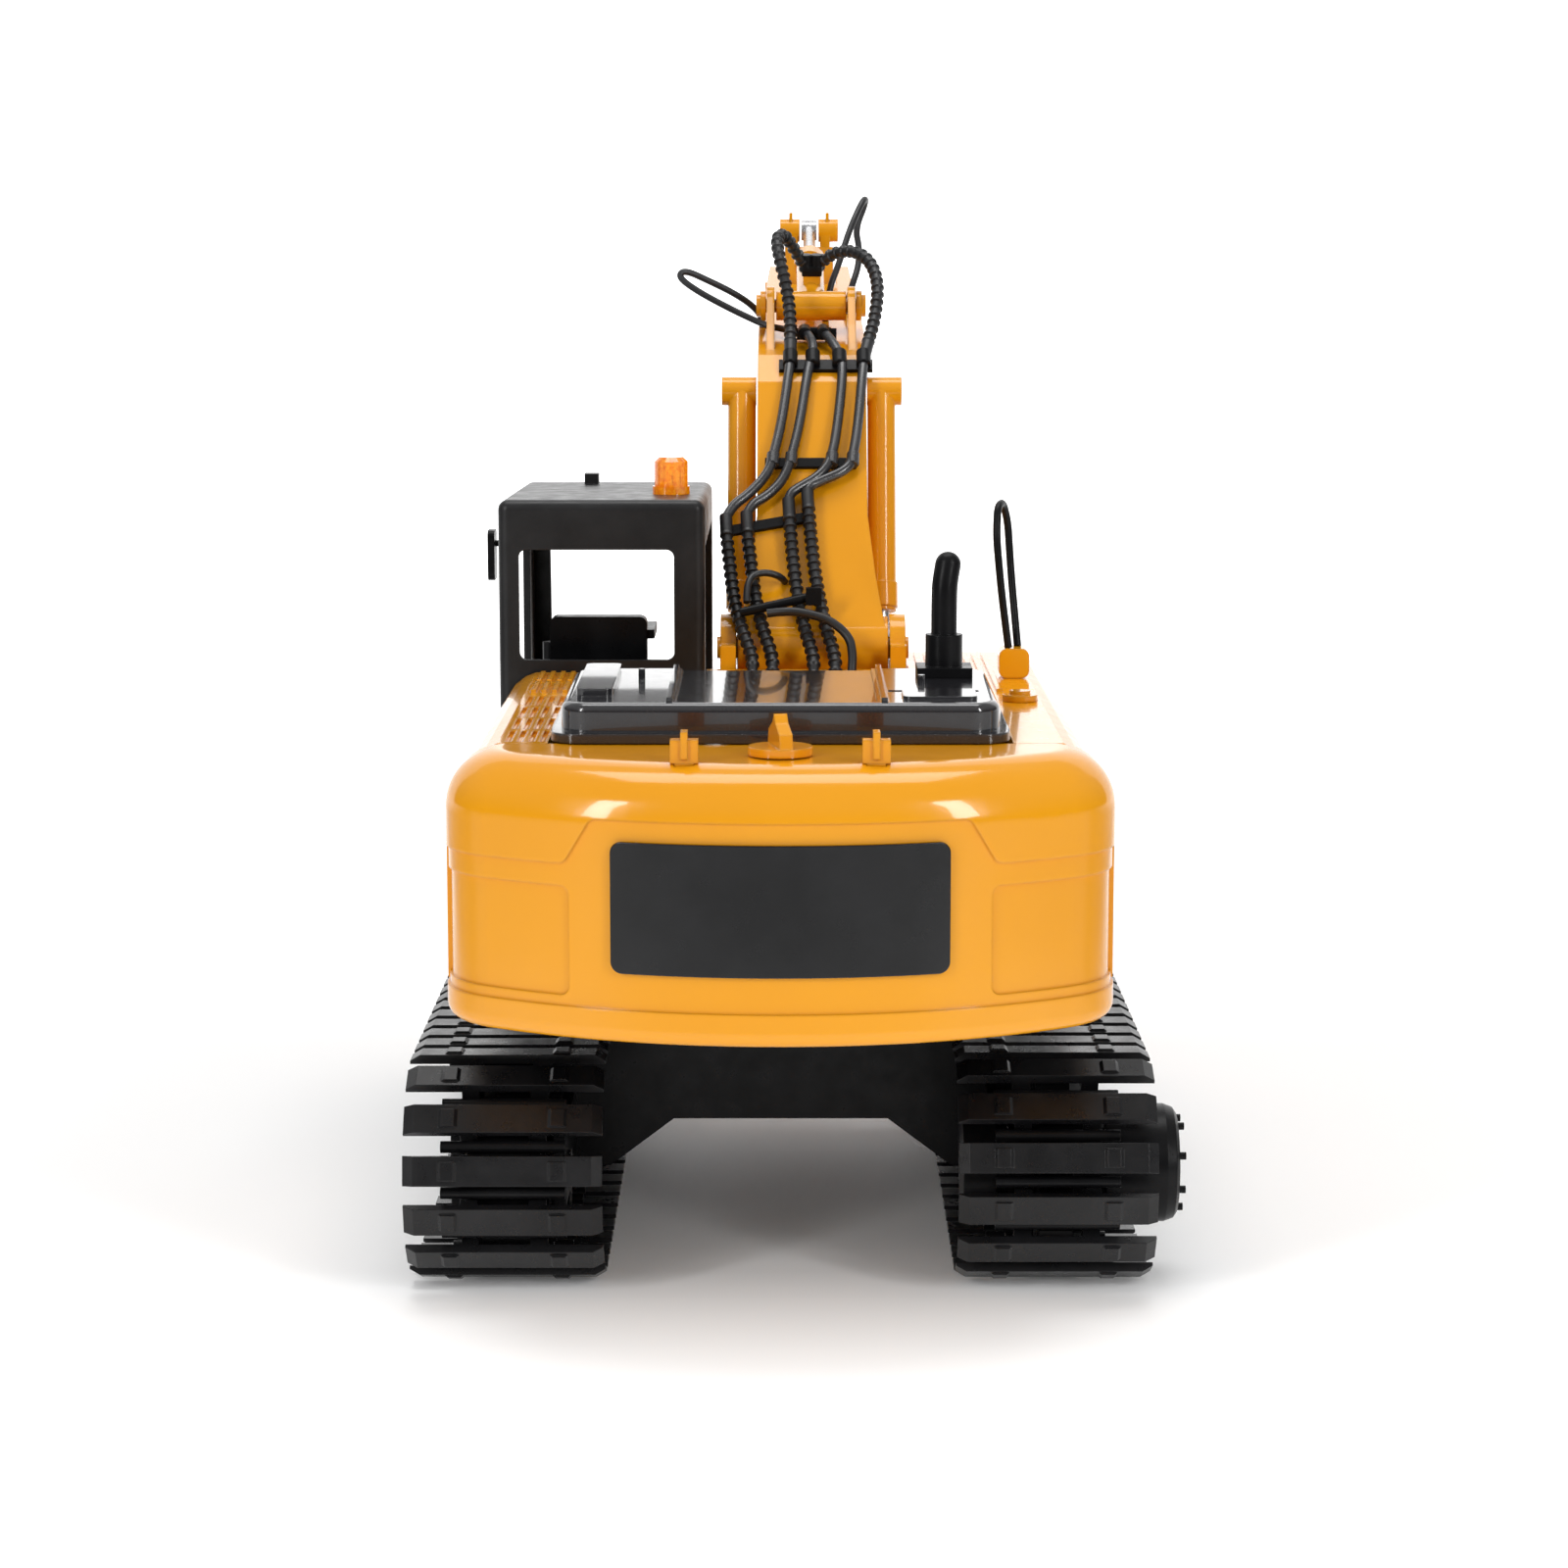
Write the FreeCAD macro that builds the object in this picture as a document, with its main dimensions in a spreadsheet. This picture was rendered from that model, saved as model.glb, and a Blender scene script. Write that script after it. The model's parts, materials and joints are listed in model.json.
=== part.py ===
"""Remote-control excavator, full parametric model in millimetres.

Frame: +X is the machine's right, +Y is forward, +Z is up.  The sheet measures Y from the slew
axis, and every sub-part is then moved by frame_shift so that the origin lies on the ground under
the middle of the whole machine.
"""
import FreeCAD, Part
import Sketcher
import math
import os
import re

Vector = FreeCAD.Vector
UP = Vector(0, 0, 1)
AXES = {"X": Vector(1, 0, 0), "Y": Vector(0, 1, 0), "Z": Vector(0, 0, 1)}
PLANES = {"XY": "XY_Plane", "XZ": "XZ_Plane", "YZ": "YZ_Plane"}

doc = FreeCAD.newDocument("excavator")
sheet = doc.addObject("Spreadsheet::Sheet", "Sizes")

SIZES = {
    # whole machine
    "frame_shift": -29.25, "skin": 2.0, "gap": 0.4, "fit": 0.05,
    # tracks
    "track_x": 64.4, "shoe_width": 46.2, "shoe_length": 7.0, "track_radius": 27.5,
    "wheel_base": 185.0, "shoe_thickness": 2.2, "pad_height": 0.6, "link_height": 3.3,
    "link_inner": 6.0, "link_outer": 10.0, "link_length": 7.0, "pin_radius": 1.4,
    "pin_length": 29.0, "shoe_count": 48.0, "edge_bevel": 2.4, "pad_length": 4.4, "pad_middle": 0.55,
    "pad_half": 2.2,
    "sprocket_tip": 21.0, "sprocket_root": 17.6, "sprocket_half": 4.0, "idler_radius": 20.9,
    "idler_half": 8.5, "axle_radius": 3.0, "hub_radius": 14.0, "hub_face": 94.3,
    "hub_top": 95.4, "stud_radius": 0.9, "stud_ring": 10.6, "stud_count": 8.0,
    "frame_half": 11.0, "frame_low": 11.0, "frame_high": 38.0, "frame_reach": 68.0,
    "arm_in": 10.6, "arm_thick": 3.0, "arm_low": 18.0, "arm_high": 37.0, "arm_reach": 98.0,
    "roller_radius": 5.0, "roller_z": 11.7, "carrier_radius": 3.5, "carrier_z": 44.8,
    "motor_radius": 13.0, "motor_in": 43.0, "neck_radius": 8.0,
    # chassis
    "chassis_half_x": 40.6, "chassis_half_y": 52.0, "chassis_low": 28.0, "chassis_high": 60.0,
    "belly_low": 24.0, "leg_low": 16.0, "leg_high": 46.0, "leg_out": 53.5, "leg_y": 52.0,
    "ring_low": 60.0, "ring_high": 67.0, "ring_bore": 24.3, "ring_teeth": 60.0,
    "gear_module": 1.0, "pinion_teeth": 12.0, "gear_play": 0.16,
    # house
    "floor_low": 71.0, "floor_high": 75.0, "slew_boss": 23.8, "deck": 132.0,
    "side": 75.0, "deck_edge": 64.2, "shoulder_low": 113.0, "deck_rear": -119.0,
    "tail_radius": 119.0, "tail_centre": -44.0, "tail_corner_x": 75.5, "tail_corner_r": 22.0,
    "counterweight_low": 71.0, "seam_z": 78.7, "step_z": 110.4, "panel_low": 81.0,
    "panel_high": 105.4,
    "field_half": 41.4, "field_top": 120.6, "badge_half": 37.0, "badge_low": 87.0,
    "badge_high": 116.0, "shoulder_radius": 13.0, "tail_foot_radius": 3.5,
    "hood_half": 50.0, "hood_rear": -118.5, "hood_front": -51.0, "hood_top": 141.0,
    "flange_half": 52.2, "flange_rear": -121.5, "flange_top": 134.4, "hood_corner": 7.0,
    "hinge_radius": 0.85, "hinge_y": -49.6, "hinge_z": 133.0,
    "mid_deck_right": 33.0, "mid_deck_front": 19.0, "cover_front_left": 12.0,
    "cover_front_right": 58.0, "louvre_pitch": 2.1,
    # cab
    "cab_left": -74.0, "cab_right": -20.0, "cab_rear": 13.6, "cab_front": 127.0,
    "cab_low": 76.0, "cab_roof": 177.0, "cab_front_roof": 174.4, "cab_corner": 2.6,
    "door_rear": 49.6, "door_front": 111.0, "door_low": 80.0, "door_high": 168.0,
    "door_axis_x": -75.0, "door_axis_y": 49.2,
    # boom and attachments
    "boom_x": 8.5, "boom_half": 15.0, "foot_half": 20.0, "foot_y": 34.0, "foot_z": 136.0,
    "foot_radius": 8.3, "cheek": 4.2, "pin": 3.0, "tip_y": 205.0, "tip_z": 226.0, "tip_half": 11.5,
    "fork_gap": 8.0, "cyl_y": 84.0, "cyl_z": 202.0, "rod_y": 56.0, "rod_z": 112.0,
    "cyl_offset": 19.4, "barrel_radius": 3.9, "barrel_length": 62.5, "rod_radius": 2.0,
    "gland_radius": 4.65, "trunnion_y": 112.0, "trunnion_z": 225.0, "stick_cyl_y": 200.0,
    "stick_cyl_z": 246.0, "stick_barrel": 4.0, "wrist_y": 180.0, "wrist_z": 83.0,
    "stick_half": 7.4, "bucket_half": 28.0, "ram_base_y": 14.0, "ram_base_z": 199.5,
    "pipe_radius": 1.38, "hose_radius": 1.6, "wire_radius": 0.95,
}


def fill_sheet():
    """One row per driving dimension: its name, its value and its alias."""
    for row, (alias, number) in enumerate(SIZES.items(), start=1):
        sheet.set(f"A{row}", alias)
        sheet.set(f"B{row}", str(number))
        sheet.setAlias(f"B{row}", alias)
    doc.recompute()


def size(alias):
    return float(sheet.get(alias))


def formula(text):
    """An expression in which each alias refers to the sheet."""
    return re.sub(r"[a-z_]+", lambda word: "Sizes." + word.group()
                  if word.group() in SIZES else word.group(), str(text))


def bind(item, **formulas):
    for name, text in formulas.items():
        item.setExpression(name.replace("__", "."), formula(text))


def place(item, x=0, y=0, z=0):
    bind(item, Placement__Base__x=x, Placement__Base__y=y, Placement__Base__z=z)


def box(name, x, y, z):
    """A block given by its (low, high) span along each axis, as formulas."""
    item = doc.addObject("Part::Box", name)
    bind(item, Length=f"({x[1]}) - ({x[0]})", Width=f"({y[1]}) - ({y[0]})",
         Height=f"({z[1]}) - ({z[0]})")
    place(item, x[0], y[0], z[0])
    return item


def turned(item, axis):
    """Lay an item that was made along Z along another axis."""
    item.Placement = FreeCAD.Placement(Vector(), FreeCAD.Rotation(UP, AXES[axis]))


def cylinder(name, axis, radius, span, centre):
    """A round bar along an axis; centre is given on the two other axes, in X, Y, Z order."""
    item = doc.addObject("Part::Cylinder", name)
    turned(item, axis)
    bind(item, Radius=radius, Height=f"({span[1]}) - ({span[0]})")
    spots = list(centre)
    spots.insert("XYZ".index(axis), span[0])
    place(item, *spots)
    return item


def cone(name, low_radius, high_radius, span, centre):
    item = doc.addObject("Part::Cone", name)
    bind(item, Radius1=low_radius, Radius2=high_radius, Height=f"({span[1]}) - ({span[0]})")
    place(item, centre[0], centre[1], span[0])
    return item


def fuse(name, *items):
    result = doc.addObject("Part::MultiFuse", name)
    result.Shapes = list(items)
    return result


def cut(name, base, *tools):
    """The base with every tool taken away."""
    result = doc.addObject("Part::Cut", name)
    result.Base = base
    result.Tool = tools[0] if len(tools) == 1 else fuse(name + "_tools", *tools)
    return result


def rounded(name, item, radius, choose):
    """Part::Fillet on the edges that choose(edge) picks."""
    doc.recompute()
    edges = [n for n, edge in enumerate(item.Shape.Edges, start=1) if choose(edge)]
    result = doc.addObject("Part::Fillet", name)
    result.Base = item
    result.Edges = [(n, size(radius), size(radius)) for n in edges]
    return result


def group(name, items):
    """Separate solids that share one node."""
    result = doc.addObject("Part::Compound", name)
    result.Links = list(items)
    return result


def feature(name, shape):
    """A sub-part whose shape is worked out in code from the sheet."""
    item = doc.addObject("Part::Feature", name)
    item.Shape = shape
    return item


def sketch(body, name, plane, points, offset=0):
    """A closed outline on one of the body's own planes, each corner bound to the sheet."""
    item = body.newObject("Sketcher::SketchObject", name)
    plane_item = [f for f in body.Origin.OriginFeatures if f.Role == PLANES[plane]][0]
    item.AttachmentSupport = [(plane_item, "")]
    item.MapMode = "FlatFace"
    item.setExpression("AttachmentOffset.Base.z", formula(offset))
    doc.recompute()
    numbers = [(evaluate(u), evaluate(v)) for u, v in points]
    count = len(points)
    for n in range(count):
        start = Vector(*numbers[n], 0)
        end = Vector(*numbers[(n + 1) % count], 0)
        item.addGeometry(Part.LineSegment(start, end), False)
    link_corners(item, points, numbers)
    return item


def link_corners(item, points, numbers):
    """Join the outline's lines and tie every corner to its two formulas."""
    count = len(points)
    for n in range(count):
        item.addConstraint(Sketcher.Constraint("Coincident", n, 2, (n + 1) % count, 1))
    for n in range(count):
        for kind, place_of in (("DistanceX", 0), ("DistanceY", 1)):
            value = numbers[n][place_of]
            if abs(value) < 1e-9:
                axis = -2 if kind == "DistanceX" else -1
                item.addConstraint(Sketcher.Constraint("PointOnObject", n, 1, axis))
                continue
            index = item.addConstraint(Sketcher.Constraint(kind, -1, 1, n, 1, value))
            item.setExpression(f"Constraints[{index}]", formula(points[n][place_of]))


def evaluate(text):
    """The number that a formula of sheet names gives."""
    return float(sheet.evalExpression(formula(text)))


def body(name):
    return doc.addObject("PartDesign::Body", name)


def pad(owner, profile, length, name):
    item = owner.newObject("PartDesign::Pad", name)
    item.Profile = profile
    bind(item, Length=length)
    return item


def pocket(owner, profile, length, name, backwards=False):
    item = owner.newObject("PartDesign::Pocket", name)
    item.Profile = profile
    item.Reversed = backwards
    bind(item, Length=length)
    return item


def fillet(owner, base, radius, choose, name):
    """Round the chosen edges of a body's last feature."""
    doc.recompute()
    edges = [f"Edge{n}" for n, edge in enumerate(base.Shape.Edges, start=1) if choose(edge)]
    item = owner.newObject("PartDesign::Fillet", name)
    item.Base = (base, edges)
    bind(item, Radius=radius)
    return item


def along(axis, shortest=0.0):
    """A test for straight edges that run along one axis."""
    def test(edge):
        if edge.Curve.TypeId != "Part::GeomLine" or edge.Length < shortest:
            return False
        return abs(edge.tangentAt(edge.FirstParameter).dot(AXES[axis])) > 0.999
    return test


# ---------------------------------------------------------------- tracks

def stadium(distance, radius):
    """Place and turn, about X, of a point on the belt's line, walked forward along the ground."""
    straight = size("wheel_base")
    half_turn = math.pi * radius
    middle = size("track_radius")
    distance %= 2 * (straight + half_turn)
    if distance < straight:
        return distance - straight / 2, middle - radius, 0.0
    distance -= straight
    if distance < half_turn:
        angle = distance / radius
        return straight / 2 + radius * math.sin(angle), middle - radius * math.cos(angle), angle
    distance -= half_turn
    if distance < straight:
        return straight / 2 - distance, middle + radius, math.pi
    angle = (distance - straight) / radius
    return -straight / 2 - radius * math.sin(angle), middle + radius * math.cos(angle), \
        math.pi + angle


def belt_copies(shape, half_step):
    """The shape, made at the belt's line at Y 0, copied to every pitch of the belt."""
    radius = belt_radius()
    pitch = 2 * (size("wheel_base") + math.pi * radius) / size("shoe_count")
    copies = []
    for n in range(int(size("shoe_count"))):
        y, z, angle = stadium((n + half_step) * pitch, radius)
        item = shape.copy()
        item.Placement = FreeCAD.Placement(Vector(0, y, z),
                                           FreeCAD.Rotation(AXES["X"], math.degrees(angle)))
        copies.append(item)
    return copies


def belt_radius():
    """The line of the link pins, where the belt keeps its length as it bends."""
    return size("track_radius") - size("pad_height") - size("shoe_thickness") - size("link_height") / 2


def block(x, y, z):
    """A plain block between (low, high) spans."""
    return Part.makeBox(x[1] - x[0], y[1] - y[0], z[1] - z[0], Vector(x[0], y[0], z[0]))


def track_shoe():
    """One shoe, ground side down, with the pin line at the origin."""
    outer = belt_radius() - size("track_radius")
    face = outer + size("pad_height")
    back = face + size("shoe_thickness")
    half = size("shoe_width") / 2
    bevel = size("edge_bevel")
    length = size("shoe_length") / 2
    points = [Vector(-half, 0, back), Vector(-half, 0, back - 0.8), Vector(-half + bevel, 0, face),
              Vector(half - bevel, 0, face), Vector(half, 0, back - 0.8), Vector(half, 0, back)]
    plate = Part.Face(Part.makePolygon(points + points[:1]))
    plate.translate(Vector(0, -length, 0))
    shoe = plate.extrude(Vector(0, 2 * length, 0))
    parts = []
    for side in (-1, 1):
        x = sorted((side * size("link_inner"), side * size("link_outer")))
        link = size("link_length") / 2
        parts.append(block(x, (-link, link), (back, size("link_height") / 2)))
        parts.append(shoe_pad(side * half * size("pad_middle"), outer, face))
    return shoe.fuse(parts).removeSplitter()


def shoe_pad(x, outer, face):
    """A small wedge-sided foot on a shoe's ground face."""
    wide = size("pad_half")
    narrow = wide - 0.7
    profile = [Vector(x - wide, 0, face), Vector(x - narrow, 0, outer), Vector(x + narrow, 0, outer),
               Vector(x + wide, 0, face)]
    foot = Part.Face(Part.makePolygon(profile + profile[:1]))
    foot.translate(Vector(0, -size("pad_length") / 2, 0))
    return foot.extrude(Vector(0, size("pad_length"), 0))


def track_belt(side, turn):
    """The shoes and the pins of one belt, as two sub-parts."""
    shoe = track_shoe()
    half = size("pin_length") / 2
    bar = Part.makeCylinder(size("pin_radius"), 2 * half, Vector(-half, 0, 0), AXES["X"])
    shoes = feature(f"{side}_track_shoes", Part.Compound(belt_copies(shoe, 0.0)))
    bars = feature(f"{side}_track_pins", Part.Compound(belt_copies(bar, 0.5)))
    for item in (shoes, bars):
        face_out(item, turn)
    return [shoes, bars]


def face_out(item, turn):
    """Put a track piece that was made about X 0 at its side of the machine."""
    x = size("track_x") if turn == 0 else -size("track_x")
    side_place = FreeCAD.Placement(Vector(x, 0, 0), FreeCAD.Rotation(UP, turn))
    item.Placement = side_place.multiply(item.Placement)


def track_frame(side, turn):
    """Side frame with moulded rollers, a fork for the idler and an arm for the drive motor."""
    name = f"{side}_track_frame"
    beam = box(name + "_beam", ("-frame_half", "frame_half"), ("-frame_reach", "frame_reach"),
               ("frame_low", "frame_high"))
    pieces = [beam]
    for n, x in enumerate(("-arm_in - arm_thick", "arm_in")):
        pieces.append(box(f"{name}_fork{n}", (x, f"{x} + arm_thick"), ("0", "arm_reach"),
                          ("arm_low", "arm_high")))
    pieces.append(box(name + "_motor_arm", ("-arm_in - arm_thick", "-arm_in"),
                      ("-arm_reach", "0"), ("arm_low", "arm_high")))
    for n in range(7):
        y = f"({n} - 3) * frame_reach / 3.4"
        pieces.append(cylinder(f"{name}_roller{n}", "X", "roller_radius",
                               ("-frame_half - 1.5", "frame_half + 1.5"), (y, "roller_z")))
    for n, y in enumerate(("-frame_reach / 2", "frame_reach / 2")):
        pieces.append(cylinder(f"{name}_carrier{n}", "X", "carrier_radius",
                               ("-frame_half + 2", "frame_half - 2"), (y, "carrier_z")))
        pieces.append(box(f"{name}_post{n}", ("-2", "2"), (f"{y} - 2", f"{y} + 2"),
                          ("frame_high - 1", "carrier_z")))
    solid = fuse(name + "_solid", *pieces)
    holes = [cylinder(name + "_idler_hole", "X", "axle_radius", ("-20", "20"),
                      ("wheel_base / 2", "track_radius")),
             cylinder(name + "_neck_hole", "X", "neck_radius", ("-20", "0"),
                      ("-wheel_base / 2", "track_radius")),
             cylinder(name + "_idler_room", "X", "idler_radius + 1", ("-arm_in", "arm_in"),
                      ("wheel_base / 2", "track_radius")),
             cylinder(name + "_sprocket_room", "X", "sprocket_tip + 1", ("-arm_in", "20"),
                      ("-wheel_base / 2", "track_radius"))]
    item = cut(name, solid, *holes)
    face_out(item, turn)
    return item


def drive_motor(side, turn):
    """The fixed motor housing inside a sprocket, with the shaft that carries the sprocket."""
    name = f"{side}_drive_motor"
    y = "-wheel_base / 2"
    drum = cylinder(name + "_drum", "X", "motor_radius",
                    ("motor_in - track_x", "-arm_in - arm_thick"), (y, "track_radius"))
    neck = cylinder(name + "_neck", "X", "neck_radius - fit",
                    ("-arm_in - arm_thick - 1", "-sprocket_half - gap"), (y, "track_radius"))
    shaft = cylinder(name + "_shaft", "X", "axle_radius - fit",
                     ("-sprocket_half - gap - 1", "sprocket_half + 6"), (y, "track_radius"))
    item = fuse(name, drum, neck, shaft)
    face_out(item, turn)
    return item


def gear_outline(teeth, root, tip, width_angle, tip_share, first=0.0):
    """A wheel with straight-sided teeth, as a face in the XY plane."""
    points = []
    for n in range(teeth):
        middle = first + 2 * math.pi * n / teeth
        for radius, offset in ((root, -width_angle), (tip, -width_angle * tip_share),
                               (tip, width_angle * tip_share), (root, width_angle)):
            angle = middle + offset
            points.append(Vector(radius * math.cos(angle), radius * math.sin(angle), 0))
    return Part.Face(Part.makePolygon(points + points[:1]))


def sprocket(side, turn):
    """Toothed drive wheel, its teeth standing between the link rows just under the pins."""
    pitch_count = 14
    outline = gear_outline(pitch_count, size("sprocket_root"), size("sprocket_tip"),
                           0.13, 0.5)
    half = size("sprocket_half")
    wheel = outline.extrude(Vector(0, 0, 2 * half))
    drum = Part.makeCylinder(size("hub_radius") - 1, 9, Vector(0, 0, 2 * half - 1), UP)
    bore = Part.makeCylinder(size("axle_radius"), 30, Vector(0, 0, -1), UP)
    wheel = wheel.fuse(drum).cut(bore).removeSplitter()
    wheel.Placement = FreeCAD.Placement(Vector(-half, 0, 0), FreeCAD.Rotation(UP, AXES["X"]))
    wheel = moved(wheel, (0, -size("wheel_base") / 2, size("track_radius")))
    item = feature(f"{side}_sprocket", wheel)
    face_out(item, turn)
    return item


def moved(shape, offset):
    """A copy of a shape, shifted."""
    shape = shape.copy()
    shape.translate(Vector(*offset))
    return shape


def hub_cover(side, turn):
    """Round final-drive cover with a ring of bolt heads, outside the belt."""
    start = size("sprocket_half") + 8
    face = size("hub_face") - size("track_x")
    y = -size("wheel_base") / 2
    z = size("track_radius")
    outline = [Vector(start, 0, 0), Vector(start, 0, size("hub_radius")),
               Vector(face - 3.4, 0, size("hub_radius")), Vector(face - 1.2, 0, 13.2),
               Vector(face - 0.4, 0, 12.0), Vector(face - 0.4, 0, 8.2), Vector(face, 0, 7.6),
               Vector(face, 0, 0)]
    cover = Part.Face(Part.makePolygon(outline + outline[:1])).revolve(Vector(), AXES["X"], 360)
    room = Part.makeCylinder(size("hub_radius") - 1, 1.2, Vector(start - 0.2, 0, 0), AXES["X"])
    cover = cover.cut(room)
    studs = []
    for n in range(int(size("stud_count"))):
        angle = 2 * math.pi * (n + 0.5) / size("stud_count")
        spot = Vector(face - 2, size("stud_ring") * math.cos(angle), size("stud_ring") * math.sin(angle))
        reach = size("hub_top") - size("track_x") - spot.x
        studs.append(Part.makeCylinder(size("stud_radius"), reach, spot, AXES["X"]))
    item = feature(f"{side}_hub_cover", moved(cover.fuse(studs).removeSplitter(), (0, y, z)))
    face_out(item, turn)
    return item


def idler(side, turn):
    """Smooth front wheel with dished faces, turning on its axle."""
    name = f"{side}_idler"
    centre = ("wheel_base / 2", "track_radius")
    rim = cylinder(name + "_rim", "X", "idler_radius", ("-idler_half", "idler_half"), centre)
    tools = [cylinder(name + "_bore", "X", "axle_radius + fit", ("-20", "20"), centre)]
    for n, span in enumerate((("-idler_half - 1", "-idler_half + 2"),
                              ("idler_half - 2", "idler_half + 1"))):
        dish = cylinder(f"{name}_dish{n}", "X", "idler_radius - 4", span, centre)
        boss = cylinder(f"{name}_boss{n}", "X", "axle_radius + 3", span, centre)
        tools.append(cut(f"{name}_ring{n}", dish, boss))
    item = cut(name, rim, *tools)
    face_out(item, turn)
    return item


def idler_axle(side, turn):
    bar = cylinder(f"{side}_idler_axle_bar", "X", "axle_radius",
                   ("-arm_in - arm_thick - 1", "arm_in + arm_thick + 1"),
                   ("wheel_base / 2", "track_radius"))
    item = group(f"{side}_idler_axle", [bar])
    face_out(item, turn)
    return item


def running_gear():
    """Both track modules; the left one is the right one turned half round."""
    parts = []
    pins, motors, axles = [], [], []
    for side, turn in (("right", 0), ("left", 180)):
        shoes, side_pins = track_belt(side, turn)
        pins.append(side_pins)
        motors.append(drive_motor(side, turn))
        axles.append(idler_axle(side, turn))
        parts += [shoes, track_frame(side, turn), sprocket(side, turn), hub_cover(side, turn),
                  idler(side, turn)]
    return parts + [group("track_pins", pins), group("drive_motors", motors),
                    group("idler_axles", axles)]


# --------------------------------------------------------------- chassis

def chassis_frame():
    """Centre housing between the belts, with four legs that reach into the side frames."""
    centre = body("chassis_frame")
    outline = sketch(centre, "chassis_outline", "XY", [
        ("-chassis_half_x", "-chassis_half_y + 16"), ("-chassis_half_x + 16", "-chassis_half_y"),
        ("chassis_half_x - 16", "-chassis_half_y"), ("chassis_half_x", "-chassis_half_y + 16"),
        ("chassis_half_x", "chassis_half_y - 16"), ("chassis_half_x - 16", "chassis_half_y"),
        ("-chassis_half_x + 16", "chassis_half_y"), ("-chassis_half_x", "chassis_half_y - 16")],
        "chassis_low")
    block_pad = pad(centre, outline, "chassis_high - chassis_low", "chassis_block")
    for n, (front, sign) in enumerate((("leg_y", 1), ("-leg_y + 22", -1))):
        legs = sketch(centre, f"leg_outline{n}", "XZ", [
            ("-leg_out", "leg_low"), ("-leg_out + 11", "leg_low"), ("-chassis_half_x + 14", "chassis_low"),
            ("chassis_half_x - 14", "chassis_low"), ("leg_out - 11", "leg_low"), ("leg_out", "leg_low"),
            ("leg_out", "leg_high"), ("chassis_half_x - 6", "chassis_high - 6"),
            ("-chassis_half_x + 6", "chassis_high - 6"), ("-leg_out", "leg_high")],
            f"-({front})")
        block_pad = pad(centre, legs, "22", f"leg_pad{n}")
    bore = sketch(centre, "bore_outline", "XY", [
        ("-26", "-26"), ("26", "-26"), ("26", "26"), ("-26", "26")], "chassis_high")
    room = pocket(centre, bore, "16", "centre_room")
    centre.Tip = room
    return centre


def belly_plate():
    """Arched cover under the centre housing."""
    plate = body("belly_plate")
    outline = sketch(plate, "belly_outline", "XZ", [
        ("-chassis_half_x + 6", "belly_low - 2"), ("-20", "belly_low"), ("20", "belly_low"),
        ("chassis_half_x - 6", "belly_low - 2"), ("chassis_half_x - 14", "chassis_low - gap / 8"),
        ("-chassis_half_x + 14", "chassis_low - gap / 8")], "-leg_y + 22 + gap")
    pad(plate, outline, "2 * (leg_y - 22 - gap)", "belly_pad")
    return plate


def involute_gear(teeth, play, first):
    """Outline of an involute wheel, 20 degree pressure angle, thinned by its play."""
    module = size("gear_module")
    pitch = module * teeth / 2
    base = pitch * math.cos(math.radians(20))
    tip = pitch + 0.9 * module
    root = pitch - 1.2 * module
    half = math.pi / (2 * teeth) - play / (2 * pitch)
    inv_pitch = math.tan(math.radians(20)) - math.radians(20)
    points = []
    for n in range(teeth):
        middle = first + 2 * math.pi * n / teeth
        flank = []
        for step in range(4):
            radius = max(base, root) + (tip - max(base, root)) * step / 3
            roll = math.acos(min(1.0, base / radius))
            flank.append((radius, half + inv_pitch - (math.tan(roll) - roll)))
        flank.insert(0, (root, flank[0][1]))
        for sign, row in ((-1, flank), (1, flank[::-1])):
            for radius, offset in row:
                angle = middle + sign * offset
                points.append(Vector(radius * math.cos(angle), radius * math.sin(angle), 0))
    return Part.Face(Part.makePolygon(points + points[:1]))


def slew_gears():
    """Ring fixed on the chassis and the motor's pinion that walks round it."""
    ring = int(size("ring_teeth"))
    pinion = int(size("pinion_teeth"))
    low = size("ring_low")
    height = size("ring_high") - low
    wheel = involute_gear(ring, size("gear_play"), math.pi / ring * (1 if ring % 4 else 0))
    wheel = wheel.extrude(Vector(0, 0, height))
    wheel = wheel.cut(Part.makeCylinder(size("ring_bore"), height))
    distance = (ring + pinion) * size("gear_module") / 2
    small = involute_gear(pinion, size("gear_play"), math.pi / pinion)
    small = small.extrude(Vector(0, 0, height))
    reach = size("floor_high") - size("ring_high") + 0.5
    shaft = Part.makeCylinder(2, reach, Vector(0, 0, height - 1), UP)
    small = small.fuse(shaft).removeSplitter()
    return [feature("slew_ring_gear", moved(wheel, (0, 0, low))),
            feature("slew_pinion", moved(small, (0, -distance, low)))]


# ----------------------------------------------------------------- house

def platform_plate():
    """Floor of the revolving house, with the round boss that turns in the slew ring."""
    floor = body("platform_floor")
    outline = sketch(floor, "floor_outline", "XY", [
        ("-side + 3", "deck_rear + 2"), ("side - 3", "deck_rear + 2"),
        ("side - 3", "cover_front_right - 2"), ("34", "cover_front_right - 2"),
        ("34", "rod_y + 9"), ("-18", "rod_y + 9"), ("-18", "cab_front - 6"),
        ("-side + 3", "cab_front - 6")], "floor_low")
    pad(floor, outline, "floor_high - floor_low", "floor_pad")
    solid = cylinder("slew_boss_bar", "Z", "slew_boss", ("ring_low - 8", "floor_low + 1"), ("0", "0"))
    hole = cylinder("pinion_hole", "Z", "2 + 0.3", ("floor_low - 1", "floor_high + 1"),
                    ("0", "-(ring_teeth + pinion_teeth) * gear_module / 2"))
    return cut("platform_plate", fuse("platform_solid", floor, solid), hole)


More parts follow.
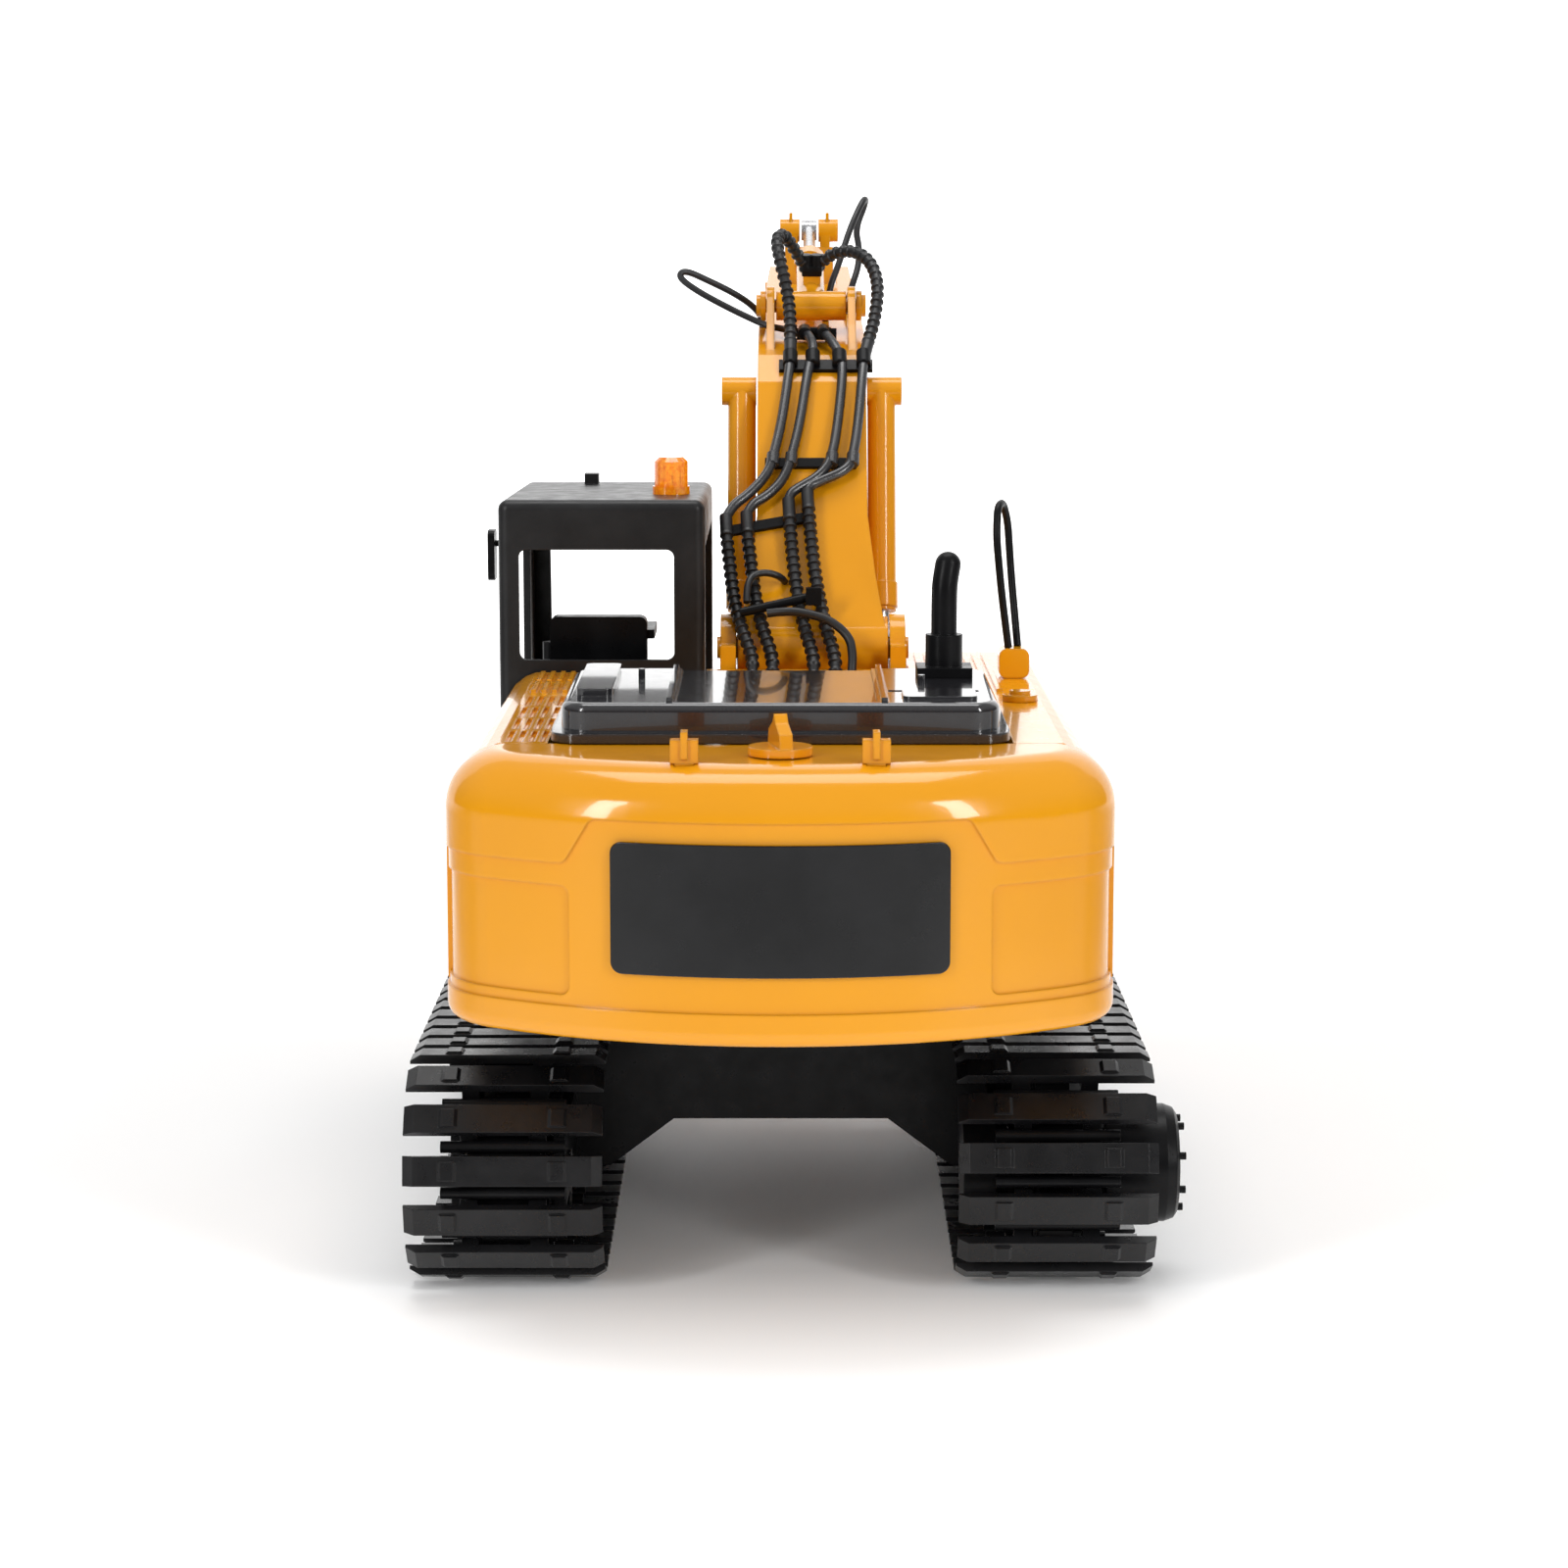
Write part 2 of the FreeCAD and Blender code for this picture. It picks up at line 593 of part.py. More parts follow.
def tail_outline(radius_change, corner=True):
    """Plan outline of the tail: a wide rear arc, round corners, straight flanks and front."""
    radius = size("tail_radius") + radius_change
    half = size("tail_corner_x") + radius_change
    centre = size("tail_centre")
    corner_r = size("tail_corner_r") + radius_change
    corner_x = half - corner_r
    corner_y = centre - math.sqrt((radius - corner_r) ** 2 - corner_x ** 2)
    lean = math.atan2(corner_x, centre - corner_y)
    front = size("deck_rear")
    arc_end = Vector(radius * math.sin(lean), centre - radius * math.cos(lean), 0)
    mid = (lean + math.pi / 2) / 2
    corner_mid = Vector(corner_x + corner_r * math.sin(mid), corner_y - corner_r * math.cos(mid), 0)
    corner_end = Vector(half, corner_y, 0)
    flip = [Vector(-p.x, p.y, 0) for p in (arc_end, corner_mid, corner_end)]
    edges = [Part.Arc(flip[0], Vector(0, centre - radius, 0), arc_end).toShape(),
             Part.Arc(arc_end, corner_mid, corner_end).toShape(),
             Part.makeLine(corner_end, Vector(half, front, 0)),
             Part.makeLine(Vector(half, front, 0), Vector(-half, front, 0)),
             Part.makeLine(Vector(-half, front, 0), flip[2]),
             Part.Arc(flip[2], flip[1], flip[0]).toShape()]
    return Part.Face(Part.Wire(edges))


def tail_slab(radius_change, low, high):
    face = tail_outline(radius_change)
    face.translate(Vector(0, 0, low))
    return face.extrude(Vector(0, 0, high - low))


def rear_prism(points, depth):
    """A prism seen from behind: an outline in X and Z, run forward through the rear wall."""
    face = Part.Face(Part.makePolygon([Vector(x, -size("tail_radius") * 2, z)
                                       for x, z in points + points[:1]]))
    return face.extrude(Vector(0, depth, 0))


def tail_skin(low, high, deep):
    """The outer layer of the tail's wall between two heights, as deep as stated."""
    return tail_slab(1, low, high).cut(tail_slab(-deep, low - 1, high + 1))


def counterweight():
    """Rounded tail weight: crowned shoulder, proud upper band, bottom seam, side panels."""
    low = size("counterweight_low")
    slab = tail_slab(0, low, size("deck"))
    shoulder = [edge for edge in slab.Edges if edge.CenterOfMass.z > size("deck") - 0.1
                and edge.CenterOfMass.y < size("deck_rear") - 0.1]
    slab = slab.makeFillet(size("shoulder_radius"), shoulder)
    half, top = size("field_half"), size("field_top")
    step, seam = size("step_z"), size("seam_z")
    foot = [edge for edge in slab.Edges if edge.CenterOfMass.z < low + 0.1
            and edge.CenterOfMass.y < size("deck_rear") - 0.1]
    slab = slab.makeFillet(size("tail_foot_radius"), foot)
    wide = 2 * size("tail_corner_x")
    reach = size("tail_radius") * 2 + size("deck_rear") - 5
    brow = rear_prism([(-wide, seam), (wide, seam), (wide, step), (half + 6, step), (half, top),
                       (-half, top), (-half - 6, step), (-wide, step)], reach)
    brow = brow.makeFillet(2.4, [edge for edge in brow.Edges if abs(edge.CenterOfMass.x) < half + 7
                                 and abs(edge.tangentAt(0).y) > 0.9])
    slab = slab.cut(tail_skin(seam, top + 1, 0.6).common(brow))
    for side in (-1, 1):
        inner, outer = side * (half + 5), side * wide
        window = rear_prism([(inner, size("panel_low")), (outer, size("panel_low")),
                             (outer, size("panel_high")), (inner, size("panel_high"))], reach)
        window = window.makeFillet(2, [edge for edge in window.Edges if abs(edge.tangentAt(0).y) > 0.9])
        slab = slab.cut(tail_skin(size("panel_low"), size("panel_high"), 1.2).common(window))
    slab = slab.cut(tail_skin(seam, seam + 0.4, 0.5))
    slab = slab.cut(block((-56, 56), (-140, size("deck_rear") + 1), (low - 1, size("deck") - 6)))
    for x in (-21, 21):
        slab = slab.cut(block((x - 2.2, x + 2.2), (-151, -146), (size("deck") - 3, size("deck") + 1)))
    knob = Part.makeCylinder(2.5, 10, Vector(0, -138, size("deck") - 8), UP)
    return feature("counterweight", slab.cut(knob).removeSplitter())


def rear_badge():
    """Plain curved name plate, left blank."""
    low, high, half = size("badge_low"), size("badge_high"), size("badge_half")
    plate = tail_slab(0.5, low, high).cut(tail_slab(-0.58, low - 1, high + 1))
    plate = plate.common(block((-half, half), (-170, -140), (low, high)))
    corners = [edge for edge in plate.Edges if edge.Length < 1.2]
    return feature("rear_badge", plate.makeFillet(2.5, corners))


def shoulder_profile(name, inner, floor_level, side):
    """Cross-section, looking along Y, of a side cover with its rounded shoulder."""
    return [(f"{side} * ({inner})", floor_level), (f"{side} * side", floor_level),
            (f"{side} * side", "shoulder_low"), (f"{side} * (side - 0.8)", "shoulder_low + 6"),
            (f"{side} * (side - 2.6)", "shoulder_low + 11.5"),
            (f"{side} * (side - 5.4)", "deck - 3.2"), (f"{side} * (side - 8.2)", "deck - 1"),
            (f"{side} * deck_edge", "deck"), (f"{side} * ({inner})", "deck")]


def side_cover(name, side, front, inner):
    """Side bodywork from floor to deck, open below; front and inner are formulas."""
    cover = body(name + "_shell")
    outline = sketch(cover, name + "_outline", "XZ", shoulder_profile(name, inner, "floor_high", side),
                     f"-({front})")
    pad(cover, outline, f"({front}) - deck_rear - gap / 4", name + "_pad")
    room = sketch(cover, name + "_room", "XY", [
        (f"{side} * (({inner}) + skin)", "deck_rear + skin + 0.5"),
        (f"{side} * (side - skin)", "deck_rear + skin + 0.5"),
        (f"{side} * (side - skin)", f"({front}) - skin"),
        (f"{side} * (({inner}) + skin)", f"({front}) - skin")], "floor_high")
    cut_room = pocket(cover, room, "deck - floor_high - 12", name + "_hollow", True)
    cover.Tip = cut_room
    return cover


def left_body_cover():
    """Left bodywork with a louvred deck panel and raised ribs."""
    shell = side_cover("left_body_cover", -1, "cover_front_left", "hood_half + 2.8")
    slots = []
    for row in range(4):
        for column in range(4):
            x = f"-deck_edge + 1.6 + {column} * louvre_pitch * 1.25"
            y = f"-116 + {row} * 20.6"
            slots.append(box(f"louvre_{row}_{column}", (x, f"{x} + 1.2"), (y, f"{y} + 18"),
                             ("deck - 0.8", "deck + 1")))
    ribs = []
    for row in range(2):
        for column in range(4):
            x = f"-deck_edge + 1.6 + {column} * louvre_pitch * 1.25"
            y = f"-30 + {row} * 20.6"
            ribs.append(box(f"left_rib_{row}_{column}", (x, f"{x} + 1.2"), (y, f"{y} + 18"),
                            ("deck - 0.5", "deck + 0.8")))
    return cut("left_body_cover", fuse("left_body_solid", shell, *ribs), *slots)


def right_body_cover():
    """Right bodywork: long side box, wider tool box ahead of the hood, ribs on the deck."""
    shell = side_cover("right_body_cover", 1, "cover_front_right", "hood_half + 2.8")
    front_box = box("tool_box", ("mid_deck_right + gap", "hood_half + 3.5"),
                    ("-hood_half", "cover_front_right"), ("floor_high", "deck"))
    front_room = box("tool_box_room", ("mid_deck_right + gap + skin", "hood_half + 1.5"),
                     ("-hood_half + skin", "cover_front_right - skin"),
                     ("floor_high - 1", "deck - skin"))
    shape = cut("tool_box_shell", front_box, front_room)
    ribs = []
    for column in range(8):
        x = f"36 + {column} * 2.6"
        ribs.append(box(f"right_rib_{column}", (x, f"{x} + 1.4"), ("-28", "50"),
                        ("deck - 0.5", "deck + 0.8")))
    return fuse("right_body_cover", shell, shape, *ribs)


def mid_deck_cover():
    """Deck plate between hood and boom foot."""
    plate = box("mid_deck_plate", ("-hood_half - 2.4", "mid_deck_right"), ("-hood_half", "mid_deck_front"),
                ("deck - 3", "deck"))
    wall = box("mid_deck_wall", ("boom_x - foot_half", "mid_deck_right"),
               ("mid_deck_front - skin", "mid_deck_front"), ("floor_high", "deck - 1"))
    hole = box("hose_slot", ("boom_x - 19", "boom_x + 12"), ("mid_deck_front - 8.4", "mid_deck_front - 2"),
               ("deck - 4", "deck + 1"))
    cab_room = box("cab_corner_room", ("-hood_half - 3", "cab_right + gap"),
                   ("cab_rear - gap", "mid_deck_front + 1"), ("deck - 4", "deck + 1"))
    knuckles = hood_knuckles("deck_knuckle", ("-35.4", "17.6"), "hinge_y", "deck - 1")
    return cut("mid_deck_cover", fuse("mid_deck_solid", plate, wall, *knuckles), hole, cab_room)


def hood_knuckles(name, starts, web_y, web_low):
    """Barrels on the hood's hinge line, each with the web that joins it to its own part."""
    pieces = []
    for n, x in enumerate(starts):
        span = (x, f"{x} + 5.2")
        pieces.append(cylinder(f"{name}{n}", "X", "hinge_radius", span, ("hinge_y", "hinge_z")))
        pieces.append(box(f"{name}_web{n}", span, (f"{web_y} - 0.3", f"{web_y} + 0.3"),
                          (web_low, "hinge_z")))
    return pieces


def boom_bracket():
    """Two side cheeks on the floor that carry the boom foot and the lift rods, with both pins."""
    pieces = []
    for n, x in enumerate(("boom_x - foot_half - gap - cheek", "boom_x + foot_half + gap")):
        pieces.append(box(f"cheek{n}", (x, f"{x} + cheek"), ("foot_y - 14", "foot_y + 9"),
                          ("floor_high", "foot_z + 2")))
        pieces.append(cylinder(f"cheek_head{n}", "X", "9", (x, f"{x} + cheek"), ("foot_y", "foot_z")))
    pieces.append(box("bracket_base",
                      ("boom_x - foot_half - gap - cheek", "boom_x + foot_half + gap + cheek"),
                      ("foot_y - 14", "rod_y + 6"), ("floor_high", "floor_high + 6")))
    pieces.append(cylinder("foot_pin", "X", "pin - fit",
                           ("boom_x - foot_half - gap - cheek - 1", "boom_x + foot_half + gap + cheek + 1"),
                           ("foot_y", "foot_z")))
    for n, x in enumerate(("boom_x - 13", "boom_x + 10")):
        pieces.append(box(f"rod_ear{n}", (x, f"{x} + 3"), ("rod_y - 5", "rod_y + 5"),
                          ("floor_high", "rod_z + 4")))
    pieces.append(cylinder("rod_pin", "X", "2", ("boom_x - foot_half - 3", "boom_x + foot_half + 3"),
                           ("rod_y", "rod_z")))
    return fuse("boom_bracket", *pieces)


def tube(points, radius):
    """A round tube along straight runs joined by tangent arcs as large as the runs allow."""
    spots = [Vector(*p) for p in points]
    edges = []
    last = spots[0]
    smallest = 1e9
    for n in range(1, len(spots) - 1):
        before = spots[n - 1] - spots[n]
        after = spots[n + 1] - spots[n]
        short = min(before.Length, after.Length)
        turn = math.pi - before.getAngle(after)
        bend = 0.45 * short / math.tan(turn / 2)
        smallest = min(smallest, bend)
        start = spots[n] + before.normalize() * 0.45 * short
        end = spots[n] + after.normalize() * 0.45 * short
        inward = (before + after).normalize()
        centre = spots[n] + inward * (bend / math.cos(turn / 2))
        middle = centre - inward * bend
        edges.append(Part.LineSegment(last, start).toShape())
        edges.append(Part.Arc(start, middle, end).toShape())
        last = end
    edges.append(Part.LineSegment(last, spots[-1]).toShape())
    path = Part.Wire(edges)
    circle = Part.Wire(Part.Circle(spots[0], spots[1] - spots[0], radius).toShape())
    pipe = path.makePipeShell([circle], True, False)
    wanted = math.pi * radius ** 2 * path.Length
    print(f"tube r {radius:.2f}: length {path.Length:.1f}, smallest bend {smallest:.1f}, "
          f"volume ratio {pipe.Volume / wanted:.3f}")
    return pipe


def platform_equipment():
    """Battery, control board and slew motor inside the house."""
    battery = rounded("battery_pack", box("battery_block", ("-38", "38"), ("-106", "-62"),
                      ("floor_high", "floor_high + 36")), "skin", along("Z"))
    board = box("board_plate", ("-46", "32"), ("-46", "-10"), ("floor_high + 40", "floor_high + 41.6"))
    posts = [box(f"board_post{n}", (x, f"{x} + 3"), ("-44", "-41"), ("floor_high", "floor_high + 41"))
             for n, x in enumerate(("-44", "28"))]
    receiver = box("receiver", ("-12", "14"), ("-34", "-16"), ("floor_high + 41", "floor_high + 47"))
    board_set = fuse("control_board", board, receiver, *posts)
    spot = ("0", "-(ring_teeth + pinion_teeth) * gear_module / 2")
    motor = fuse("slew_motor", cylinder("motor_can", "Z", "9", ("floor_high + 6", "floor_high + 34"), spot),
                 cylinder("motor_gearbox", "Z", "12", ("floor_high", "floor_high + 7"), spot))
    return [battery, board_set, motor]


def engine_hood():
    """Hollow hood with a rim flange, stepped top, filter box and pegs."""
    skirt = box("hood_skirt", ("-hood_half", "hood_half"), ("hood_rear", "hood_front"),
                ("deck + 0.3", "hood_top"))
    skirt = rounded("hood_skirt_round", skirt, "hood_corner", along("Z"))
    skirt = rounded("hood_skirt_crown", skirt, "skin",
                    lambda edge: edge.CenterOfMass.z > size("hood_top") - 0.1)
    rim = box("hood_rim", ("-flange_half", "flange_half"), ("flange_rear", "hood_front + 0.2"),
              ("deck + 0.3", "flange_top"))
    rim = rounded("hood_rim_round", rim, "hood_corner", along("Z"))
    room = box("hood_room", ("-hood_half + skin", "hood_half - skin"),
               ("hood_rear + skin", "hood_front - skin"), ("deck - 1", "hood_top - skin"))
    panel = box("hood_panel_step", ("-24", "22"), ("hood_rear + 4", "hood_front + 1"),
                ("hood_top - 0.7", "hood_top + 1"))
    groove = box("hood_groove", ("25", "46"), ("hood_rear + 21", "hood_rear + 24"),
                 ("hood_top - 0.8", "hood_top + 1"))
    ridges = [box(f"hood_ridge{n}", (x, f"{x} + 1.4"), ("hood_rear + 3", "hood_front - 2"),
                  ("hood_top - 0.5", "hood_top + 1")) for n, x in enumerate(("-26", "23"))]
    filter_box = rounded("filter_box", box("filter_block", ("-47", "-38.6"), ("-106", "-57"),
                         ("hood_top - 0.5", "hood_top + 1.8")), "skin", along("Z"))
    pegs = [cylinder(f"hood_peg{n}", "Z", "0.8", ("hood_top - 0.5", "hood_top + 2.8"), (x, y))
            for n, (x, y) in enumerate((("-33", "-76"), ("33", "-88")))]
    service_box = rounded("service_box", box("service_block", ("28", "45"), ("-112", "-99"),
                          ("hood_top - 0.5", "hood_top + 0.8")), "skin", along("Z"))
    knuckles = hood_knuckles("hood_knuckle", ("-41", "12"), "hood_front", "deck + 0.4")
    arms = [box(f"hood_knuckle_arm{n}", (x, f"{x} + 5.2"), ("hood_front - 0.5", "hinge_y"),
                ("hinge_z - 0.6", "hinge_z + 0.6")) for n, x in enumerate(("-41", "12"))]
    solid = fuse("hood_solid", skirt, rim, filter_box, service_box, *ridges, *pegs, *knuckles, *arms)
    return cut("engine_hood", solid, room, panel, groove)


def exhaust_stack():
    """Square foot, stub and pipe with a bent end."""
    foot = block((32.6, 45.8), (-72.5, -60.3), (size("hood_top"), size("hood_top") + 2.4))
    top = size("hood_top")
    stub = Part.makeCylinder(4.45, 8, Vector(39.2, -66.4, top + 2), UP)
    end = Vector(40.1, -65.2, top + 26.6)
    pipe = tube([(39.2, -66.4, top + 9), (39.2, -66.4, top + 17), (39.3, -66.2, top + 22), end], 3.1)
    tip = Part.makeSphere(3.1, end)
    return feature("exhaust_stack", foot.fuse([stub, pipe, tip]).removeSplitter())


def knob_wing():
    """The latch's finger wing: a thin fin with a raised point, turned a little off the centre."""
    outline = [Vector(0, -6.6, 0), Vector(0, -5.8, 3.4), Vector(0, -1.6, 5.4), Vector(0, 0, 7.4),
               Vector(0, 1.6, 5.4), Vector(0, 5.8, 3.4), Vector(0, 6.6, 0)]
    fin = Part.Face(Part.makePolygon(outline + outline[:1])).extrude(Vector(3.0, 0, 0))
    fin.translate(Vector(-1.5, 0, 0))
    fin.rotate(Vector(), UP, 12)
    return feature("knob_wing", moved(fin, (0, -138, size("deck") + 2)))


def tail_fittings():
    """Latch knob on its stem, and the two lifting lugs."""
    disc = cylinder("knob_disc", "Z", "7.2", ("deck + 0.3", "deck + 2.2"), ("0", "-138"))
    stem = cylinder("knob_stem", "Z", "2.4", ("deck - 6", "deck + 1"), ("0", "-138"))
    knob = fuse("battery_knob", disc, stem, knob_wing())
    lugs = []
    for n, x in enumerate(("-21", "21")):
        post = box(f"lug_post{n}", (f"{x} - 3.1", f"{x} + 3.1"), ("-150.3", "-146.7"),
                   ("deck", "deck + 5.2"))
        fin = box(f"lug_fin{n}", (f"{x} - 0.8", f"{x} + 0.8"), ("-151", "-146"), ("deck + 1", "deck + 7"))
        root = box(f"lug_root{n}", (f"{x} - 2.1", f"{x} + 2.1"), ("-150.2", "-146.8"),
                   ("deck - 2.9", "deck + 1"))
        lugs.append(fuse(f"lug{n}", post, fin, root))
    return [knob, group("lifting_lugs", lugs)]


def deck_fittings():
    """Fuel cap, handrail foot and handrail loop on the right deck."""
    cap = fuse("fuel_cap", cylinder("cap_disc", "Z", "4.35", ("deck + 0.05", "deck + 1.6"), ("59", "-45")),
               cylinder("cap_grip", "Z", "2.6", ("deck + 1", "deck + 2.6"), ("59", "-45")))
    foot = rounded("handrail_foot", box("handrail_block", ("56.4", "64.2"), ("-1", "7"),
                   ("deck + 0.05", "deck + 7.7")), "skin", along("Y"))
    start = size("deck") + 7.8
    loop = tube([(58.9, 1.6, start), (56.8, -0.6, start + 15), (55.4, -1.6, start + 29),
                 (55.8, 1.4, start + 36.4), (57.4, 6.4, start + 37.4), (59.0, 10.6, start + 32),
                 (60.0, 10.4, start + 18), (61.5, 5.0, start)], 1.0)
    return [cap, foot, feature("handrail", loop)]


# ------------------------------------------------------------------- cab

def cab_profile(inset):
    """Side outline of the cab: upright rear, a windscreen that leans back above the knee."""
    low = f"cab_low + {inset}"
    return [(f"cab_rear + {inset}", low), (f"cab_front - {inset}", low),
            (f"cab_front - {inset}", "cab_low + 26"),
            (f"cab_front - 9 - {inset}", f"cab_front_roof - {inset}"),
            (f"cab_rear + {inset}", f"cab_roof - {inset}")]


def cab_shell():
    """Hollow cab with rear, side and front window openings and a doorway on the left."""
    shell = body("cab_shell_body")
    outline = sketch(shell, "cab_outline", "YZ", cab_profile("0"), "cab_left")
    solid = pad(shell, outline, "cab_right - cab_left", "cab_pad")
    solid = fillet(shell, solid, "cab_corner", lambda edge: edge.Length > 40 and (
        edge.CenterOfMass.z > size("cab_roof") - 6 or along("Z", 40)(edge)), "cab_round")
    room = sketch(shell, "cab_room", "YZ", cab_profile("skin"), "cab_left + skin")
    hollow = pocket(shell, room, "cab_right - cab_left - 2 * skin", "cab_hollow", True)
    shell.Tip = hollow
    windows = [
        rounded("rear_window", box("rear_window_block", ("-68.6", "-28"), ("cab_rear - 1", "cab_rear + 8"),
                ("135", "164")), "skin", along("Y")),
        box("doorway", ("cab_left - 1", "cab_left + skin + 6"), ("door_rear - gap", "door_front + gap"),
            ("door_low - gap", "door_high + gap")),
        box("rear_quarter", ("cab_left - 1", "cab_left + skin + 6"), ("cab_rear + 9", "door_rear - 7"),
            ("120", "164")),
        box("right_window", ("cab_right - skin - 6", "cab_right + 1"), ("cab_rear + 10", "cab_front - 16"),
            ("120", "164")),
        box("windscreen", ("cab_left + 7", "cab_right - 7"), ("cab_front - 18", "cab_front + 5"),
            ("106", "168"))]
    tabs = [box(f"roof_tab{n}", (x, f"{x} + 4"), (y, f"{y} + 5"), ("cab_front_roof - 1", "cab_roof + 0.8"))
            for n, (x, y) in enumerate((("-56", "102"), ("-36", "102")))]
    knuckles = door_knuckles("cab_knuckle", ("95", "143"), ("door_axis_y - 2", "door_axis_y - 0.2"))
    return cut("cab_shell", fuse("cab_solid", shell, *tabs, *knuckles), *windows)


def door_knuckles(name, starts, web_y):
    """Barrels on the door's hinge line, each with the web that joins it to its own part."""
    pieces = []
    for n, z in enumerate(starts):
        span = (z, f"{z} + 5")
        pieces.append(cylinder(f"{name}{n}", "Z", "hinge_radius", span, ("door_axis_x", "door_axis_y")))
        pieces.append(box(f"{name}_web{n}", ("door_axis_x", "cab_left + 0.5"), web_y, span))
    return pieces


def cab_interior():
    """Seat on its pedestal, and side consoles with levers."""
    pedestal = box("seat_pedestal", ("-56", "-38"), ("44", "62"), ("cab_low + skin", "cab_low + 24"))
    cushion = box("seat_cushion", ("-59", "-35"), ("40", "66"), ("cab_low + 24", "cab_low + 32"))
    back = rounded("seat_back", box("seat_back_block", ("-62", "-36"), ("36", "42"),
                   ("cab_low + 26", "cab_low + 68")), "skin", along("Y"))
    rest = box("arm_rest", ("-37", "-34"), ("37", "58"), ("cab_low + 62", "cab_low + 64.4"))
    seat = fuse("cab_seat", pedestal, cushion, back, rest)
    pieces = []
    for n, x in enumerate(("-68", "-31")):
        pieces.append(box(f"console{n}", (x, f"{x} + 7"), ("46", "80"), ("cab_low + skin", "cab_low + 36")))
        pieces.append(cylinder(f"lever{n}", "Z", "1.1", ("cab_low + 35", "cab_low + 50"),
                               (f"{x} + 3.5", "74")))
        pieces.append(cylinder(f"lever_grip{n}", "Z", "2", ("cab_low + 49", "cab_low + 57"),
                               (f"{x} + 3.5", "74")))
    pieces.append(box("console_bridge", ("-68", "-24"), ("77", "80"), ("cab_low + skin", "cab_low + 5")))
    return [seat, fuse("cab_controls", *pieces)]


def cab_door():
    """Door leaf with its window opening and a pull handle."""
    leaf = box("door_leaf", ("cab_left", "cab_left + skin"), ("door_rear", "door_front"),
               ("door_low", "door_high"))
    window = box("door_window", ("cab_left - 1", "cab_left + 4"), ("door_rear + 6", "door_front - 6"),
                 ("118", "door_high - 6"))
    handle = box("door_handle", ("cab_left - 1.6", "cab_left + 0.5"), ("door_front - 14", "door_front - 5"),
                 ("110", "112.6"))
    knuckles = door_knuckles("door_knuckle", ("100.2", "148.2"), ("door_rear", "door_rear + 1.6"))
    arms = [box(f"door_arm{n}", ("door_axis_x - 0.4", "door_axis_x + 0.4"),
                ("door_axis_y", "door_rear + 1.6"), (z, f"{z} + 5"))
            for n, z in enumerate(("100.2", "148.2"))]
    return cut("cab_door", fuse("door_solid", leaf, handle, *knuckles, *arms), window)


def cab_fittings():
    """Side mirror on its arm, and the amber beacon on its base."""
    arm = cylinder("mirror_arm", "X", "0.9", ("cab_left - 9.4", "cab_left + 1"), ("cab_front - 14", "157"))
    glass = rounded("mirror_head", box("mirror_block", ("cab_left - 10.4", "cab_left - 8.4"),
                    ("cab_front - 19", "cab_front - 10"), ("146.6", "161")), "skin", along("X"))
    mirror = fuse("side_mirror", arm, glass)
    spot = ("-29.6", "46")
    base = cylinder("beacon_base_disc", "Z", "5", ("cab_roof - 1.6", "cab_roof + 1.4"), spot)
    lens = fuse("beacon_lens_solid",
                cylinder("lens_drum", "Z", "4.5", ("cab_roof + 1.4", "cab_roof + 8"), spot),
                cone("lens_top", "4.5", "3.2", ("cab_roof + 8", "cab_roof + 9.2"), spot))
    return [mirror, group("beacon_base", [base]), group("beacon_lens", [lens])]


# ------------------------------------------------------ boom, stick, bucket

def strip(owner, name, plane, points, low, depth, backwards=False):
    """Pocket an outline out of a body, from one offset over a depth."""
    outline = sketch(owner, name + "_outline", plane, points, low)
    return pocket(owner, outline, depth, name, backwards)


